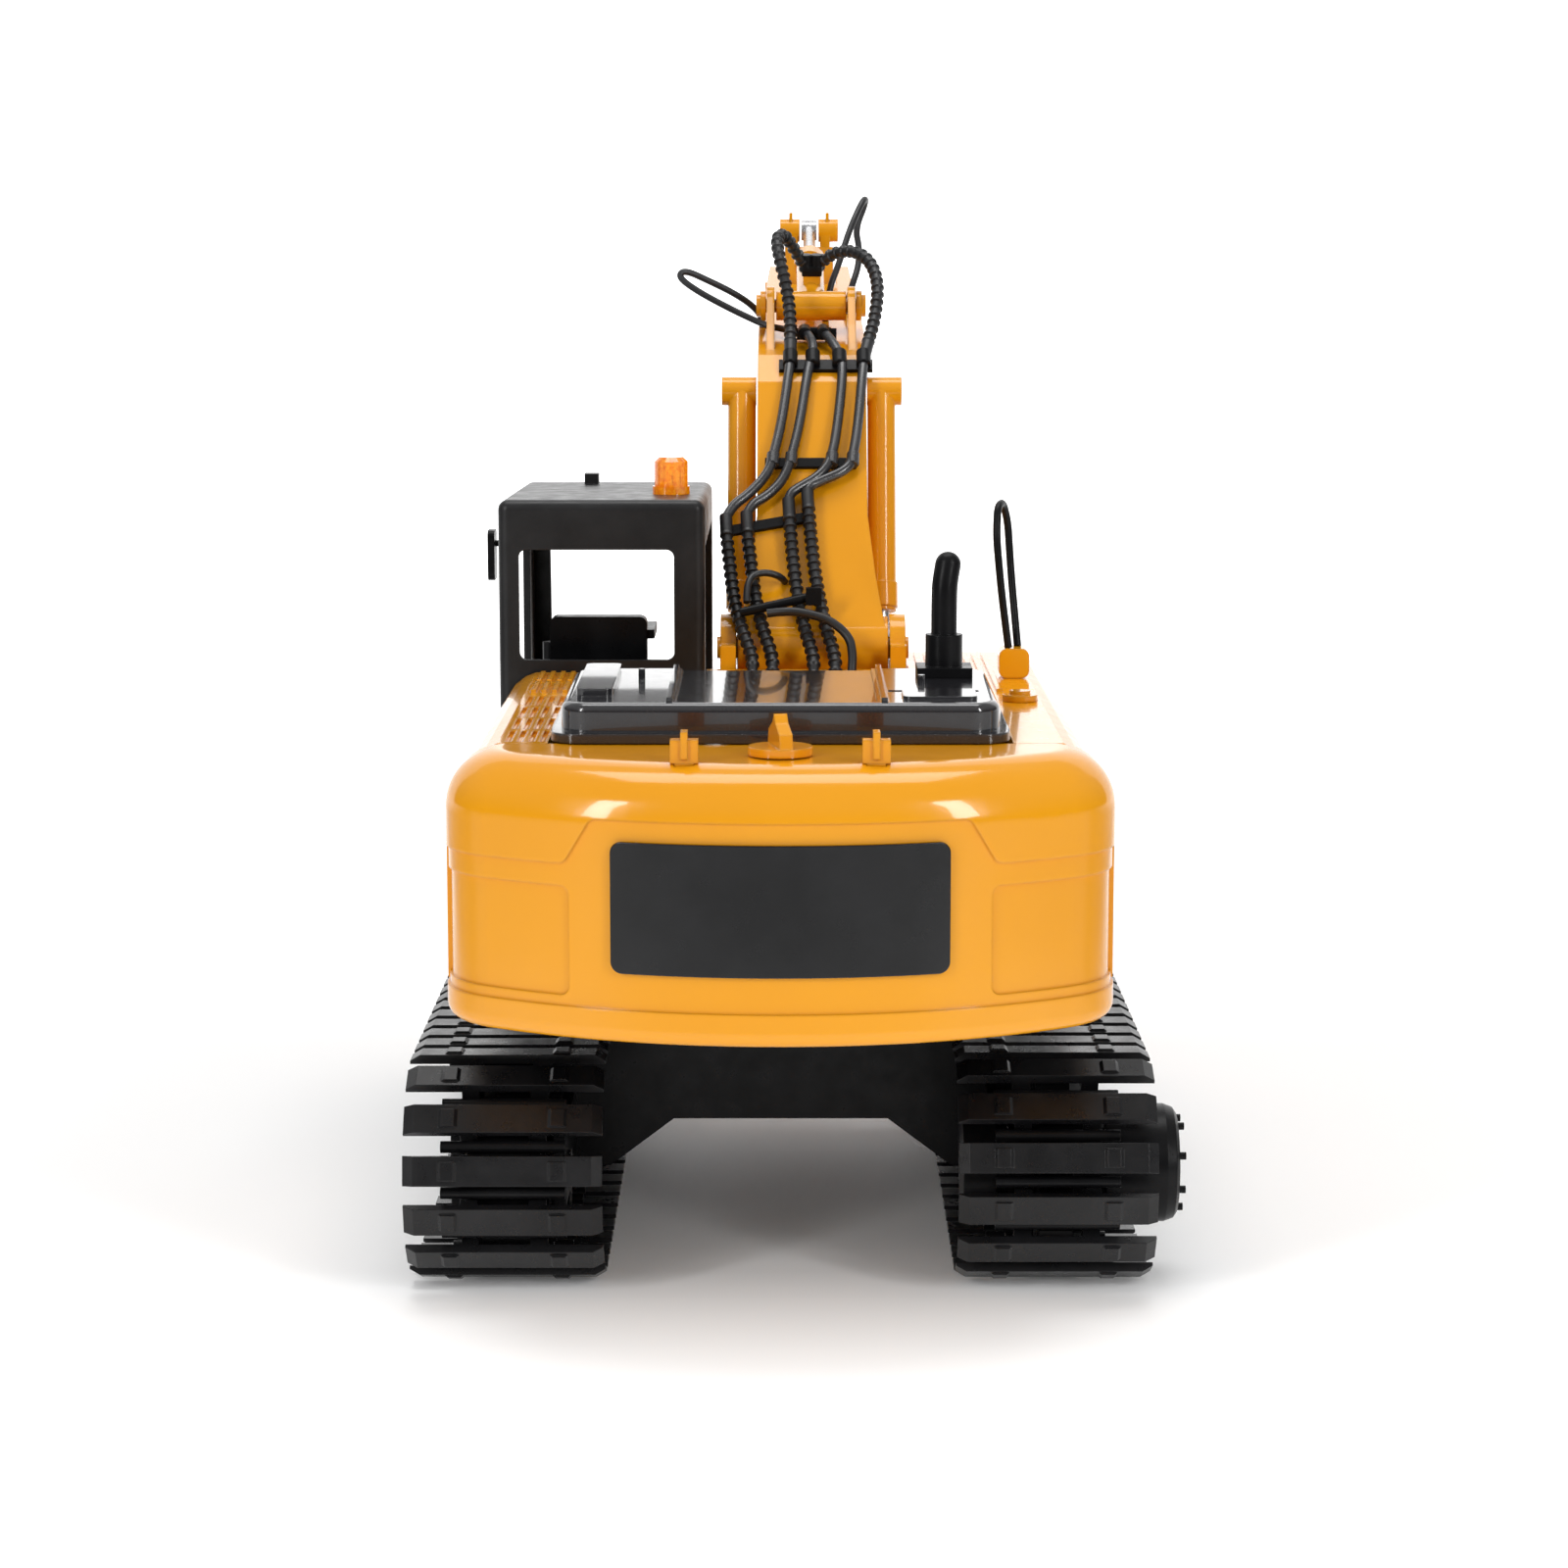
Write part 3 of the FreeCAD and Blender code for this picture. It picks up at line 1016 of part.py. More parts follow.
def boom_arm():
    """Bent boom: flared foot, tapered nose with a fork, and the lugs of the stick cylinder."""
    arm = body("boom_beam")
    outline = sketch(arm, "boom_outline", "YZ", [
        ("foot_y - 6.5", "foot_z + 5"), ("cyl_y - 6", "cyl_z + 3"), ("cyl_y + 3", "cyl_z + 10"),
        ("cyl_y + 13", "cyl_z + 12.6"), ("tip_y - 5", "tip_z + 9"), ("tip_y + 5", "tip_z + 6"),
        ("tip_y + 7", "tip_z - 3"), ("tip_y + 1", "tip_z - 8.5"), ("trunnion_y + 12", "cyl_z - 4"),
        ("trunnion_y - 6", "cyl_z - 15"), ("foot_y + 9", "foot_z - 2"), ("foot_y", "foot_z - 8")],
        "boom_x - foot_half")
    beam = pad(arm, outline, "2 * foot_half", "boom_pad")
    for n, side in enumerate((-1, 1)):
        near, far = f"boom_x + {side} * boom_half", f"boom_x + {side} * (foot_half + 2)"
        beam = strip(arm, f"boom_waist{n}", "XZ", [
            (near, "foot_z + 34"), (f"boom_x + {side} * (boom_half + 1.9)", "foot_z + 19"),
            (f"boom_x + {side} * (boom_half + 3.7)", "foot_z + 9"),
            (f"boom_x + {side} * foot_half", "foot_z + 3"), (far, "foot_z + 3"),
            (far, "tip_z + 60"), (near, "tip_z + 60")], "-tip_y - 30", "tip_y + 60", True)
        beam = strip(arm, f"boom_taper{n}", "XY", [
            (near, "trunnion_y + 6"), (f"boom_x + {side} * tip_half", "tip_y + 8"), (far, "tip_y + 8"),
            (far, "trunnion_y + 6")], "tip_z + 30", "tip_z", False)
    beam = strip(arm, "fork_slot", "XY", [
        ("boom_x - fork_gap", "tip_y - 30"), ("boom_x + fork_gap", "tip_y - 30"),
        ("boom_x + fork_gap", "tip_y + 12"), ("boom_x - fork_gap", "tip_y + 12")],
        "tip_z + 30", "tip_z", False)
    arm.Tip = beam
    barrel = cylinder("boom_foot_barrel", "X", "foot_radius", ("boom_x - foot_half", "boom_x + foot_half"),
                      ("foot_y", "foot_z"))
    lugs = []
    for n, x in enumerate(("boom_x - 12.6", "boom_x + 10.4")):
        gusset = body(f"lug_gusset{n}")
        pad(gusset, sketch(gusset, f"gusset_outline{n}", "YZ", [
            ("cyl_y - 5", "cyl_z + 1"), ("trunnion_y + 8", "cyl_z + 8"), ("trunnion_y + 5", "trunnion_z"),
            ("trunnion_y - 4", "trunnion_z + 3.5"), ("trunnion_y - 12", "trunnion_z - 5")], x),
            "2.2", f"gusset_pad{n}")
        lugs.append(gusset)
        lugs.append(cylinder(f"lug_head{n}", "X", "5.5", (x, f"{x} + 2.2"), ("trunnion_y", "trunnion_z")))
    bore = cylinder("boom_foot_bore", "X", "pin", ("boom_x - 30", "boom_x + 30"), ("foot_y", "foot_z"))
    tip = cylinder("boom_tip_bore", "X", "pin - fit", ("boom_x - 30", "boom_x + 30"), ("tip_y", "tip_z"))
    lug_bore = cylinder("boom_lug_bore", "X", "2", ("boom_x - 30", "boom_x + 30"),
                        ("trunnion_y", "trunnion_z"))
    ram_rooms = [box(f"ram_room{n}", (f"boom_x + {low}", f"boom_x + {high}"), ("57.5", "120"),
                     ("foot_z + 3", "cyl_z - 8"))
                 for n, (low, high) in enumerate((("boom_half + 0.1", "boom_half + 9"),
                                                  ("-boom_half - 9", "-boom_half - 0.1")))]
    lead_hole = cylinder("lead_hole", "X", "1.5", ("boom_x - 13", "boom_x - 10"), ("107.6", "219"))
    return cut("boom_arm", fuse("boom_solid", arm, barrel, *lugs), bore, tip, lug_bore, lead_hole,
               *ram_rooms)


def headed_pin(name, radius, half, centre):
    """A pin across the boom with a wider head at each end."""
    bar = cylinder(name + "_bar", "X", radius, (f"boom_x - {half}", f"boom_x + {half}"), centre)
    heads = [cylinder(f"{name}_head{n}", "X", f"({radius}) + 1.2", span, centre)
             for n, span in enumerate(((f"boom_x - {half} - 1.2", f"boom_x - {half}"),
                                       (f"boom_x + {half}", f"boom_x + {half} + 1.2")))]
    return fuse(name, bar, *heads)


def boom_pins():
    nose = headed_pin("boom_nose_pin", "pin - fit", "(tip_half + 0.8)", ("tip_y", "tip_z"))
    trunnion = headed_pin("trunnion_pin", "1.95", "14.4", ("trunnion_y", "trunnion_z"))
    caps = [cylinder(f"trunnion_cap{n}", "X", "4.2", (x, f"{x} + 1.6"), ("trunnion_y", "trunnion_z"))
            for n, x in enumerate(("boom_x - 14.4", "boom_x + 12.8"))]
    return group("boom_pins", [nose, fuse("trunnion_set", trunnion, *caps)])


def spot(x, y, z):
    """A point in the boom's own plane, x measured from the boom's centre plane."""
    return Vector(size("boom_x") + x, size(y) if isinstance(y, str) else y,
                  size(z) if isinstance(z, str) else z)


def eye(centre, radius, half):
    """A round eye across the boom, centred on a point."""
    return Part.makeCylinder(radius, 2 * half, centre - Vector(half, 0, 0), AXES["X"])


def ram(base, end, outer, inner, length, reach, collar):
    """Barrel that starts at base, and the rod that slides in it and ends in an eye at end."""
    line = (end - base)
    total = line.Length
    line.normalize()
    barrel = Part.makeCylinder(outer, length, base, line)
    barrel = barrel.fuse(Part.makeCylinder(collar, 7, base + line * (length - 8), line))
    bore = Part.makeCylinder(inner + size("fit"), length, base + line * (outer + 1), line)
    rod = Part.makeCylinder(inner, reach, base + line * (total - reach), line)
    return barrel, bore, rod


def boom_rams():
    """Both boom cylinders: barrels pinned beside the boom, rods pinned to the house."""
    barrels = []
    rods = []
    for side in (-1, 1):
        top = spot(side * size("cyl_offset"), "cyl_y", "cyl_z")
        low = spot(side * size("cyl_offset"), "rod_y", "rod_z")
        barrel, bore, rod = ram(top, low, size("barrel_radius"), size("rod_radius"),
                                size("barrel_length"), 68, size("gland_radius") - 0.3)
        boss_start = min(side * (size("boom_half") + 0.4), side * 25)
        boss = Part.makeCylinder(3.95, 9.6, spot(boss_start, "cyl_y", "cyl_z"), AXES["X"])
        barrels.append(barrel.fuse(boss).cut(bore).removeSplitter())
        rod = rod.fuse(eye(low, 3.9, 3)).cut(eye(low, size("rod_radius") + size("fit"), 6))
        rods.append(rod.removeSplitter())
    return [feature("boom_cylinder_barrels", Part.Compound(barrels)),
            feature("boom_cylinder_rods", Part.Compound(rods))]


def stick_ram():
    """Stick cylinder on the boom's back; its rod eye stands between the stick's top fins."""
    base = spot(0, "trunnion_y", "trunnion_z")
    end = spot(0, "stick_cyl_y", "stick_cyl_z")
    barrel, bore, rod = ram(base, end, size("stick_barrel"), 1.8, 54, 66, 4.6)
    barrel = barrel.fuse(eye(base, 4.15, 9.9)).cut(bore).cut(eye(base, 2, 12))
    saddle = block((size("boom_x") - 2.2, size("boom_x") + 2.8), (121.5, 127), (229, 234.4))
    barrel = barrel.fuse(saddle.cut(bore).cut(Part.makeCylinder(size("stick_barrel") - 0.5, 54, base,
                                                                (end - base).normalize())))
    return [feature("stick_cylinder_barrel", barrel.removeSplitter()),
            feature("stick_cylinder_rod", rod.fuse(eye(end, 3.1, 2.3)).removeSplitter())]


def stick_arm():
    """Straight stick: head with the cylinder fins, tapering to the wrist, with ram lugs in front."""
    arm = body("stick_beam")
    outline = sketch(arm, "stick_outline", "YZ", [
        ("stick_cyl_y - 3.2", "stick_cyl_z - 5"), ("stick_cyl_y + 3.4", "stick_cyl_z - 5"),
        ("tip_y + 12", "tip_z"), ("tip_y + 12", "tip_z - 20"), ("tip_y + 5", "tip_z - 44"),
        ("wrist_y + 6", "wrist_z + 2"), ("wrist_y + 3", "wrist_z - 4"), ("wrist_y - 4", "wrist_z - 4"),
        ("wrist_y - 6", "wrist_z + 2"), ("tip_y - 17", "tip_z - 40"), ("tip_y - 13", "tip_z - 4")],
        "boom_x - stick_half")
    beam = pad(arm, outline, "2 * stick_half", "stick_pad")
    arm.Tip = beam
    fins = []
    for n, (side, x) in enumerate(((-1, "boom_x - 8.9"), (1, "boom_x + 2.9"))):
        fins.append(cylinder(f"fin_boss{n}", "X", "3.5", (x, f"{x} + 6"), ("stick_cyl_y", "stick_cyl_z")))
        fins.append(box(f"fin_web{n}", (f"{x} + 1.5 - {side}", f"{x} + 4.5 - {side}"),
                        ("stick_cyl_y - 3.2", "stick_cyl_y + 3.4"), ("stick_cyl_z - 8", "stick_cyl_z")))
        fins.append(box(f"fin{n}", (f"boom_x + {side} * 5.6 - 0.5", f"boom_x + {side} * 5.6 + 0.5"),
                        ("stick_cyl_y - 2.4", "stick_cyl_y + 2.6"), ("stick_cyl_z", "stick_cyl_z + 5.4")))
    for n, x in enumerate(("boom_x - 6.4", "boom_x + 4.2")):
        fins.append(box(f"ram_lug{n}", (x, f"{x} + 2.2"), ("tip_y + 4", "tip_y + 17"), ("194", "205")))
    tools = [cylinder("stick_head_bore", "X", "pin", ("boom_x - 20", "boom_x + 20"), ("tip_y", "tip_z")),
             cylinder("rod_eye_room", "X", "5.2", ("boom_x - 2.9", "boom_x + 2.9"),
                      ("stick_cyl_y", "stick_cyl_z")),
             cylinder("ram_base_bore", "X", "1.6", ("boom_x - 20", "boom_x + 20"),
                      ("tip_y + ram_base_y", "ram_base_z"))]
    return cut("stick_arm", fuse("stick_solid", arm, *fins), *tools)


def stick_pins():
    wrist = headed_pin("wrist_pin", "2.4", "10.9", ("wrist_y", "wrist_z"))
    rocker = headed_pin("rocker_pin", "1.8", "10.2", ("wrist_y + 3.8", "wrist_z + 21.7"))
    base = cylinder("ram_base_pin", "X", "1.55", ("boom_x - 7", "boom_x + 7"),
                    ("tip_y + ram_base_y", "ram_base_z"))
    return group("stick_pins", [wrist, rocker, base])


def bucket_linkage():
    """Bucket cylinder, rocker pair and link pair between stick and bucket."""
    base = spot(0, size("tip_y") + size("ram_base_y"), "ram_base_z")
    pivot = spot(0, size("wrist_y") + 3.8, size("wrist_z") + 21.7)
    joint = spot(0, size("wrist_y") + 25.8, size("wrist_z") + 27.7)
    ear = spot(0, size("wrist_y") + 16, size("wrist_z") + 2)
    barrel, bore, rod = ram(base, joint, 3.0, 1.5, 52, 56, 3.6)
    barrel = barrel.fuse(eye(base, 3, 3.7)).cut(bore).cut(eye(base, 1.6, 8))
    rod = rod.fuse(eye(joint, 3, 3.2))
    rockers = [plate_between(pivot, joint, 4, side * 8.8, 1) for side in (-1, 1)]
    stubs = [Part.makeCylinder(2, 4, spot(x, joint.y, joint.z), AXES["X"]) for x in (-9.9, 5.9)]
    rocker_set = rockers[0].fuse([rockers[1], *stubs])
    rocker_set = rocker_set.fuse(Part.makeCylinder(1.2, 16, spot(-8, (pivot.y + joint.y) / 2 + 3.2,
                                                                 (pivot.z + joint.z) / 2 + 1), AXES["X"]))
    rocker_set = rocker_set.cut(eye(pivot, 1.85, 14))
    links = [plate_between(joint, ear, 3, side * 4.6, 1) for side in (-1, 1)]
    middle = (joint + ear) * 0.5
    link_set = links[0].fuse([links[1], eye(middle, 1.6, 4)])
    return [feature("bucket_cylinder_barrel", barrel.removeSplitter()),
            feature("bucket_cylinder_rod", rod.removeSplitter()),
            feature("bucket_rocker", rocker_set.removeSplitter()),
            feature("bucket_link", link_set.removeSplitter())]


def plate_between(start, end, radius, x, half):
    """A link plate with round ends, x from the boom's centre plane."""
    line = end - start
    across = Vector(0, -line.z, line.y).normalize() * radius
    points = [start + across, end + across, end - across, start - across]
    shift = Vector(x - half, 0, 0)
    face = Part.Face(Part.makePolygon([p + shift for p in points + points[:1]]))
    plate = face.extrude(Vector(2 * half, 0, 0))
    ends = [Part.makeCylinder(radius, 2 * half, p + shift, AXES["X"]) for p in (start, end)]
    return plate.fuse(ends)


def bucket():
    """Open bucket: curved back, side walls, cutting edge with teeth, and two hinge ears."""
    half = size("bucket_half")
    y, z = size("wrist_y"), size("wrist_z")

    def side_face(inset, x):
        top, lip = Vector(x, y - 12, z - 9 - inset), Vector(x, y - 22, z - 50 + inset)
        back_top, low = Vector(x, y + 26 - inset, z - 12 - inset), Vector(x, y + 6, z - 58 + inset)
        arc = Part.Arc(back_top, Vector(x, y + 34 - inset, z - 38), low)
        edges = [Part.makeLine(top, back_top), arc.toShape(), Part.makeLine(low, lip),
                 Part.makeLine(lip, top)]
        return Part.Face(Part.Wire(edges))

    middle = size("boom_x")
    shell = side_face(0, middle - half).extrude(Vector(2 * half, 0, 0))
    room = side_face(2, middle - half + 2).extrude(Vector(2 * half - 4, 0, 0))
    mouth = block((middle - half + 2, middle + half - 2), (y - 40, y - 6), (z - 47.6, z - 11.2))
    shell = shell.cut(room.fuse(mouth))
    teeth = []
    for n in range(5):
        x = middle + (n - 2) * (half - 4) / 2
        face = Part.Face(Part.makePolygon([Vector(x - 2.6, y - 16, z - 53), Vector(x - 2.6, y - 30, z - 49.8),
                                           Vector(x - 2.6, y - 30, z - 48.8), Vector(x - 2.6, y - 18, z - 48),
                                           Vector(x - 2.6, y - 16, z - 53)]))
        teeth.append(face.extrude(Vector(5.2, 0, 0)))
    ears = []
    for side in (-1, 1):
        ear = Part.Face(Part.makePolygon([
            spot(side * 9.2 - 1.2, y - 9, z - 10), spot(side * 9.2 - 1.2, y + 24, z - 13),
            spot(side * 9.2 - 1.2, y + 20, z + 4), spot(side * 9.2 - 1.2, y + 14, z + 6),
            spot(side * 9.2 - 1.2, y, z + 6), spot(side * 9.2 - 1.2, y - 6, z + 3),
            spot(side * 9.2 - 1.2, y - 9, z - 10)])).extrude(Vector(2.4, 0, 0))
        stub = Part.makeCylinder(2, 3, spot(side * 7.5 - 1.5, y + 16, z + 2), AXES["X"])
        ears += [ear, stub]
    whole = shell.fuse(teeth + ears).cut(eye(spot(0, y, z), 2.45, 14))
    return feature("bucket", whole.removeSplitter())


# ------------------------------------------------------------- hoses, wires

BACK_ANGLE = math.atan2(64.0, 50.5)


def back_point(x, distance, lift):
    """A point over the boom's sloping back, so far up from its foot and lifted off the face."""
    y = size("foot_y") - 6.5 + distance * math.cos(BACK_ANGLE) - lift * math.sin(BACK_ANGLE)
    z = size("foot_z") + 5 + distance * math.sin(BACK_ANGLE) + lift * math.cos(BACK_ANGLE)
    return (x, y, z)


# Each pipe's own path down the boom's back as (x, distance up from the foot), from the second
# clamp to the sleeve where its hose starts, and then that hose's x at mid height and at the deck.
PIPE_PATHS = (
    ((-2.2, 54), (-3.6, 48.6), (-8.6, 42), (-13.4, 38), (-14.9, 34)),
    ((2.8, 54), (0.8, 47), (-3.4, 41.6), (-8.2, 38.6), (-9.3, 35)),
    ((13.9, 54), (10.9, 48.2), (4.0, 43.6), (2.2, 41.6), (2.0, 39.4)),
    ((19.6, 54), (18.0, 50), (10.9, 46.4), (7.6, 44.6), (7.1, 42.4)),
)
HOSE_ENDS = ((-12.6, -7.5), (-6.8, -2.2), (4.5, 8.6), (10.3, 14.3))
PIPE_TOPS = (
    [(2.6, 84, 212.4), (2.5, 80.5, 209.8)],
    [(6.6, 95, 218.2), (8.6, 90, 216.4), (9.0, 84.5, 212.8), (7.6, 80, 209.2)],
    [(11.8, 95, 218.2), (13.8, 90, 216.4), (16.0, 84.5, 212.8), (17.3, 80, 209.2)],
    [(23.2, 84, 212.4), (22.8, 80.5, 209.8)],
)


def boom_pipes():
    """Four smooth pipes down the boom's back; they bend left below the second clamp."""
    pipes = []
    for top, path in zip(PIPE_TOPS, PIPE_PATHS):
        upper = back_point((top[-1][0] + path[0][0]) / 2, 66, 2.2)
        pipes.append(tube(top + [upper] + [back_point(x, far, 2.9) for x, far in path],
                          size("pipe_radius")))
    return feature("boom_pipes", Part.Compound(pipes))


def deck_hoses():
    """Four ribbed hoses from the pipes' ends down into the deck."""
    hoses = []
    for path, (middle, low) in zip(PIPE_PATHS, HOSE_ENDS):
        x, far = path[-1]
        points = [back_point(x, far - 0.6, 2.9), back_point(x * 0.9 + middle * 0.1, far - 6, 3.2),
                  (x * 0.5 + middle * 0.5, 37.5, 158), (middle, 30, 149),
                  (middle * 0.5 + low * 0.5, 23, 141), (low, 18, 135.5), (low, 13.6, 131.5), (low, 13.6, 126)]
        hoses.append(tube(points, size("hose_radius")))
    return feature("deck_hoses", Part.Compound(hoses))


def back_bar(x_span, distance, lean):
    """A clamp bar across the boom's back, leaning so far up over its length."""
    bar = block((0, x_span[1] - x_span[0]), (-1.5, 1.5), (0.1, 1.2))
    bar.rotate(Vector(), UP, lean)
    bar.Placement = FreeCAD.Placement(Vector(*back_point(x_span[0], distance, 0)),
                                      FreeCAD.Rotation(AXES["X"], math.degrees(BACK_ANGLE))
                                      ).multiply(bar.Placement)
    return bar


def hose_clamps():
    """Clamp bars that hold the pipes to the boom's back, and the junction bar under the ram."""
    top = block((-0.6, 25.4), (-2.1, 2.1), (0.1, 1.3))
    top.Placement = FreeCAD.Placement(Vector(0, 82.5, 208.5), FreeCAD.Rotation(AXES["X"], 38))
    junction = block((4.4, 15.6), (97, 101), (215.8, 219))
    start, end = Vector(-10.8, 23.8, 146.4), Vector(9.0, 26.6, 150.6)
    tie = Part.makeCylinder(1.25, (end - start).Length, start, end - start)
    tie = tie.fuse(block((6.6, 10.8), (23.6, 26.6), (148.4, 153)))
    return feature("hose_clamps", Part.Compound(
        [top, back_bar((-4.4, 20.6), 53.6, 0), back_bar((-13.6, 7.6), 31.5, 12), junction, tie]))


def cylinder_hoses():
    """Two ribbed hoses that loop from the top clamp to the block on the stick cylinder."""
    left = [(2.6, 84.2, 212.6), (2.6, 88, 216.2), (2.6, 92, 220.8), (2.0, 98, 228.3), (-0.5, 104, 238.4),
            (-1.4, 110, 244.2), (0.8, 115, 245.4), (4.0, 119.5, 240.6), (7.0, 122.6, 236.2)]
    right = [(23.2, 84.2, 212.6), (24.4, 88, 216.0), (26.4, 94, 221.9), (27.6, 102, 232), (24.7, 110, 238.8),
             (19.0, 116, 240.9), (12.8, 121, 238.9), (10.0, 123.6, 236.2)]
    return feature("cylinder_hoses", Part.Compound([tube(left, 1.5), tube(right, 1.5)]))


def boom_wires():
    """Two thin leads: a loop out to the left, and one that rises to the right over the nose."""
    left = [(4.2, 101.2, 218.0), (-0.4, 105.6, 218.8), (-4.2, 108.6, 219.4), (-14.2, 110, 224),
            (-24, 110, 229.2), (-29.4, 110.4, 233.2), (-27.6, 111.4, 235.2), (-21, 113, 232.2),
            (-14, 115, 228.8), (-8.2, 117, 225), (-5.4, 118.2, 221.4), (-5.3, 118.2, 218.6)]
    right = [(12.8, 126, 220.3), (13.6, 126.5, 229), (16.8, 130, 236.8), (19.4, 136, 245), (22.1, 141, 251.3),
             (24.6, 146, 255.8), (24.8, 150, 254.0), (21.8, 149, 246.6), (23.0, 146, 241), (22.6, 142, 235.4),
             (20.4, 137, 229.6), (18.6, 135, 222.2)]
    thin = size("wire_radius")
    return feature("boom_wires", Part.Compound([tube(left, thin), tube(right, thin)]))


def deck_wires():
    """Two short smooth leads round the boom's foot."""
    upper = [(-9.1, 25.4, 149.0), (-9.2, 28.0, 152.8), (-7.6, 31.2, 155.8), (-3.8, 32.2, 156.4),
             (0.2, 33.4, 155.0), (1.0, 36.6, 153.4)]
    lower = [(-3.5, 22.6, 146.4), (1.5, 21.4, 147.2), (7.0, 21.2, 146.6), (13.4, 20.8, 144.6),
             (18.2, 19.2, 140.4), (18.9, 16.4, 135.9), (18.6, 14.2, 131.6), (18.6, 14.2, 126)]
    return feature("deck_wires", Part.Compound([tube(upper, size("wire_radius")), tube(lower, 1.2)]))


# ------------------------------------------------------------------ output

def finish(parts):
    """Shift every sub-part to the machine's own origin, check it and write it."""
    for item in parts:
        item.setExpression("Placement.Base.y", formula(
            f"frame_shift + ({item.Placement.Base.y})"))
    doc.recompute()
    for item in doc.Objects:
        bad = [state for state in item.State if state in ("Invalid", "Error")]
        if bad:
            raise RuntimeError(f"{item.Label} is {bad}")
    os.makedirs("parts", exist_ok=True)
    whole = FreeCAD.BoundBox()
    for item in parts:
        if item.Shape.isNull() or not item.Shape.isValid():
            raise RuntimeError(f"{item.Label} has a bad shape")
        whole.add(item.Shape.optimalBoundingBox(False))
        item.Shape.exportStep(f"parts/{item.Label}.step")
    print(len(parts), "sub-parts, box", whole)


def build():
    fill_sheet()
    parts = running_gear()
    parts += [chassis_frame(), belly_plate()] + slew_gears()
    parts += [platform_plate(), counterweight(), rear_badge(), left_body_cover(), right_body_cover(),
              mid_deck_cover(), boom_bracket()]
    parts += platform_equipment() + [engine_hood(), exhaust_stack()] + tail_fittings() + deck_fittings()
    parts += [cab_shell(), cab_door()] + cab_interior() + cab_fittings()
    parts += [boom_arm(), boom_pins()] + boom_rams() + stick_ram() + [stick_arm(), stick_pins()]
    parts += bucket_linkage() + [bucket()]
    parts += [boom_pipes(), deck_hoses(), hose_clamps(), cylinder_hoses(), boom_wires(), deck_wires()]
    finish(parts)


build()
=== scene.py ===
"""Looks of the remote-control excavator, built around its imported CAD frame, in metres."""
import json
import math

import bmesh
import bpy
from mathutils import Matrix, Vector


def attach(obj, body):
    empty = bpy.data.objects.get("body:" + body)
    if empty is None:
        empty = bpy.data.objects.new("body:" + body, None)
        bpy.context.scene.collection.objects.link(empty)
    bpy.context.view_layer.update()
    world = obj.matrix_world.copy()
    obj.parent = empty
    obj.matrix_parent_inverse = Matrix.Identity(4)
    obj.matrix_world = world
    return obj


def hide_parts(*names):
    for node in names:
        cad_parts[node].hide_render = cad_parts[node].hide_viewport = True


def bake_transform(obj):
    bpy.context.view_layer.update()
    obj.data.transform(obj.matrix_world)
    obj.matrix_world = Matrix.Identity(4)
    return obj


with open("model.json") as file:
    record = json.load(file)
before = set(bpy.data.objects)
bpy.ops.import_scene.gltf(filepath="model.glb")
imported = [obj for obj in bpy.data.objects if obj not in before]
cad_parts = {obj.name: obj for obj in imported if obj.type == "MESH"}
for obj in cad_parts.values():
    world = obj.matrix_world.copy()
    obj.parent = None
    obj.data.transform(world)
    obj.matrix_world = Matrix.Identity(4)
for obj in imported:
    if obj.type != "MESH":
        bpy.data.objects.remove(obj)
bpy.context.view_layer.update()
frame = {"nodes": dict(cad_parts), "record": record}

MM = 0.001
BACK_SHIFT = -29.25                     # slew axis, in mm behind the frame's origin
BOOM_X = 8.5                            # boom's centre plane, mm
NODES = frame["nodes"]


def place(x, y, z):
    """A point given in mm, with y measured from the slew axis, as the CAD measures it."""
    return Vector((x * MM, (y + BACK_SHIFT) * MM, z * MM))


# ---------------------------------------------------------------- camera, light, floor

def add_camera():
    """Behind the machine and a little above it, tilted so many degrees down."""
    tilt_down = 8.83
    camera = bpy.data.cameras.new("camera")
    camera.lens = 83.25
    camera.sensor_width = 36.0
    camera.clip_start = 0.05
    holder = bpy.data.objects.new("camera", camera)
    bpy.context.scene.collection.objects.link(holder)
    holder.location = place(0.8, -932, 249)
    holder.rotation_euler = (math.radians(90 - tilt_down), 0, 0)
    bpy.context.scene.camera = holder


def add_area(name, spot, target, width, height, power):
    """A rectangular soft light that faces its target."""
    light = bpy.data.lights.new(name, "AREA")
    light.shape = "RECTANGLE"
    light.size = width
    light.size_y = height
    light.energy = power
    holder = bpy.data.objects.new(name, light)
    bpy.context.scene.collection.objects.link(holder)
    holder.location = spot
    holder.rotation_euler = (Vector(target) - Vector(spot)).to_track_quat("-Z", "Y").to_euler()


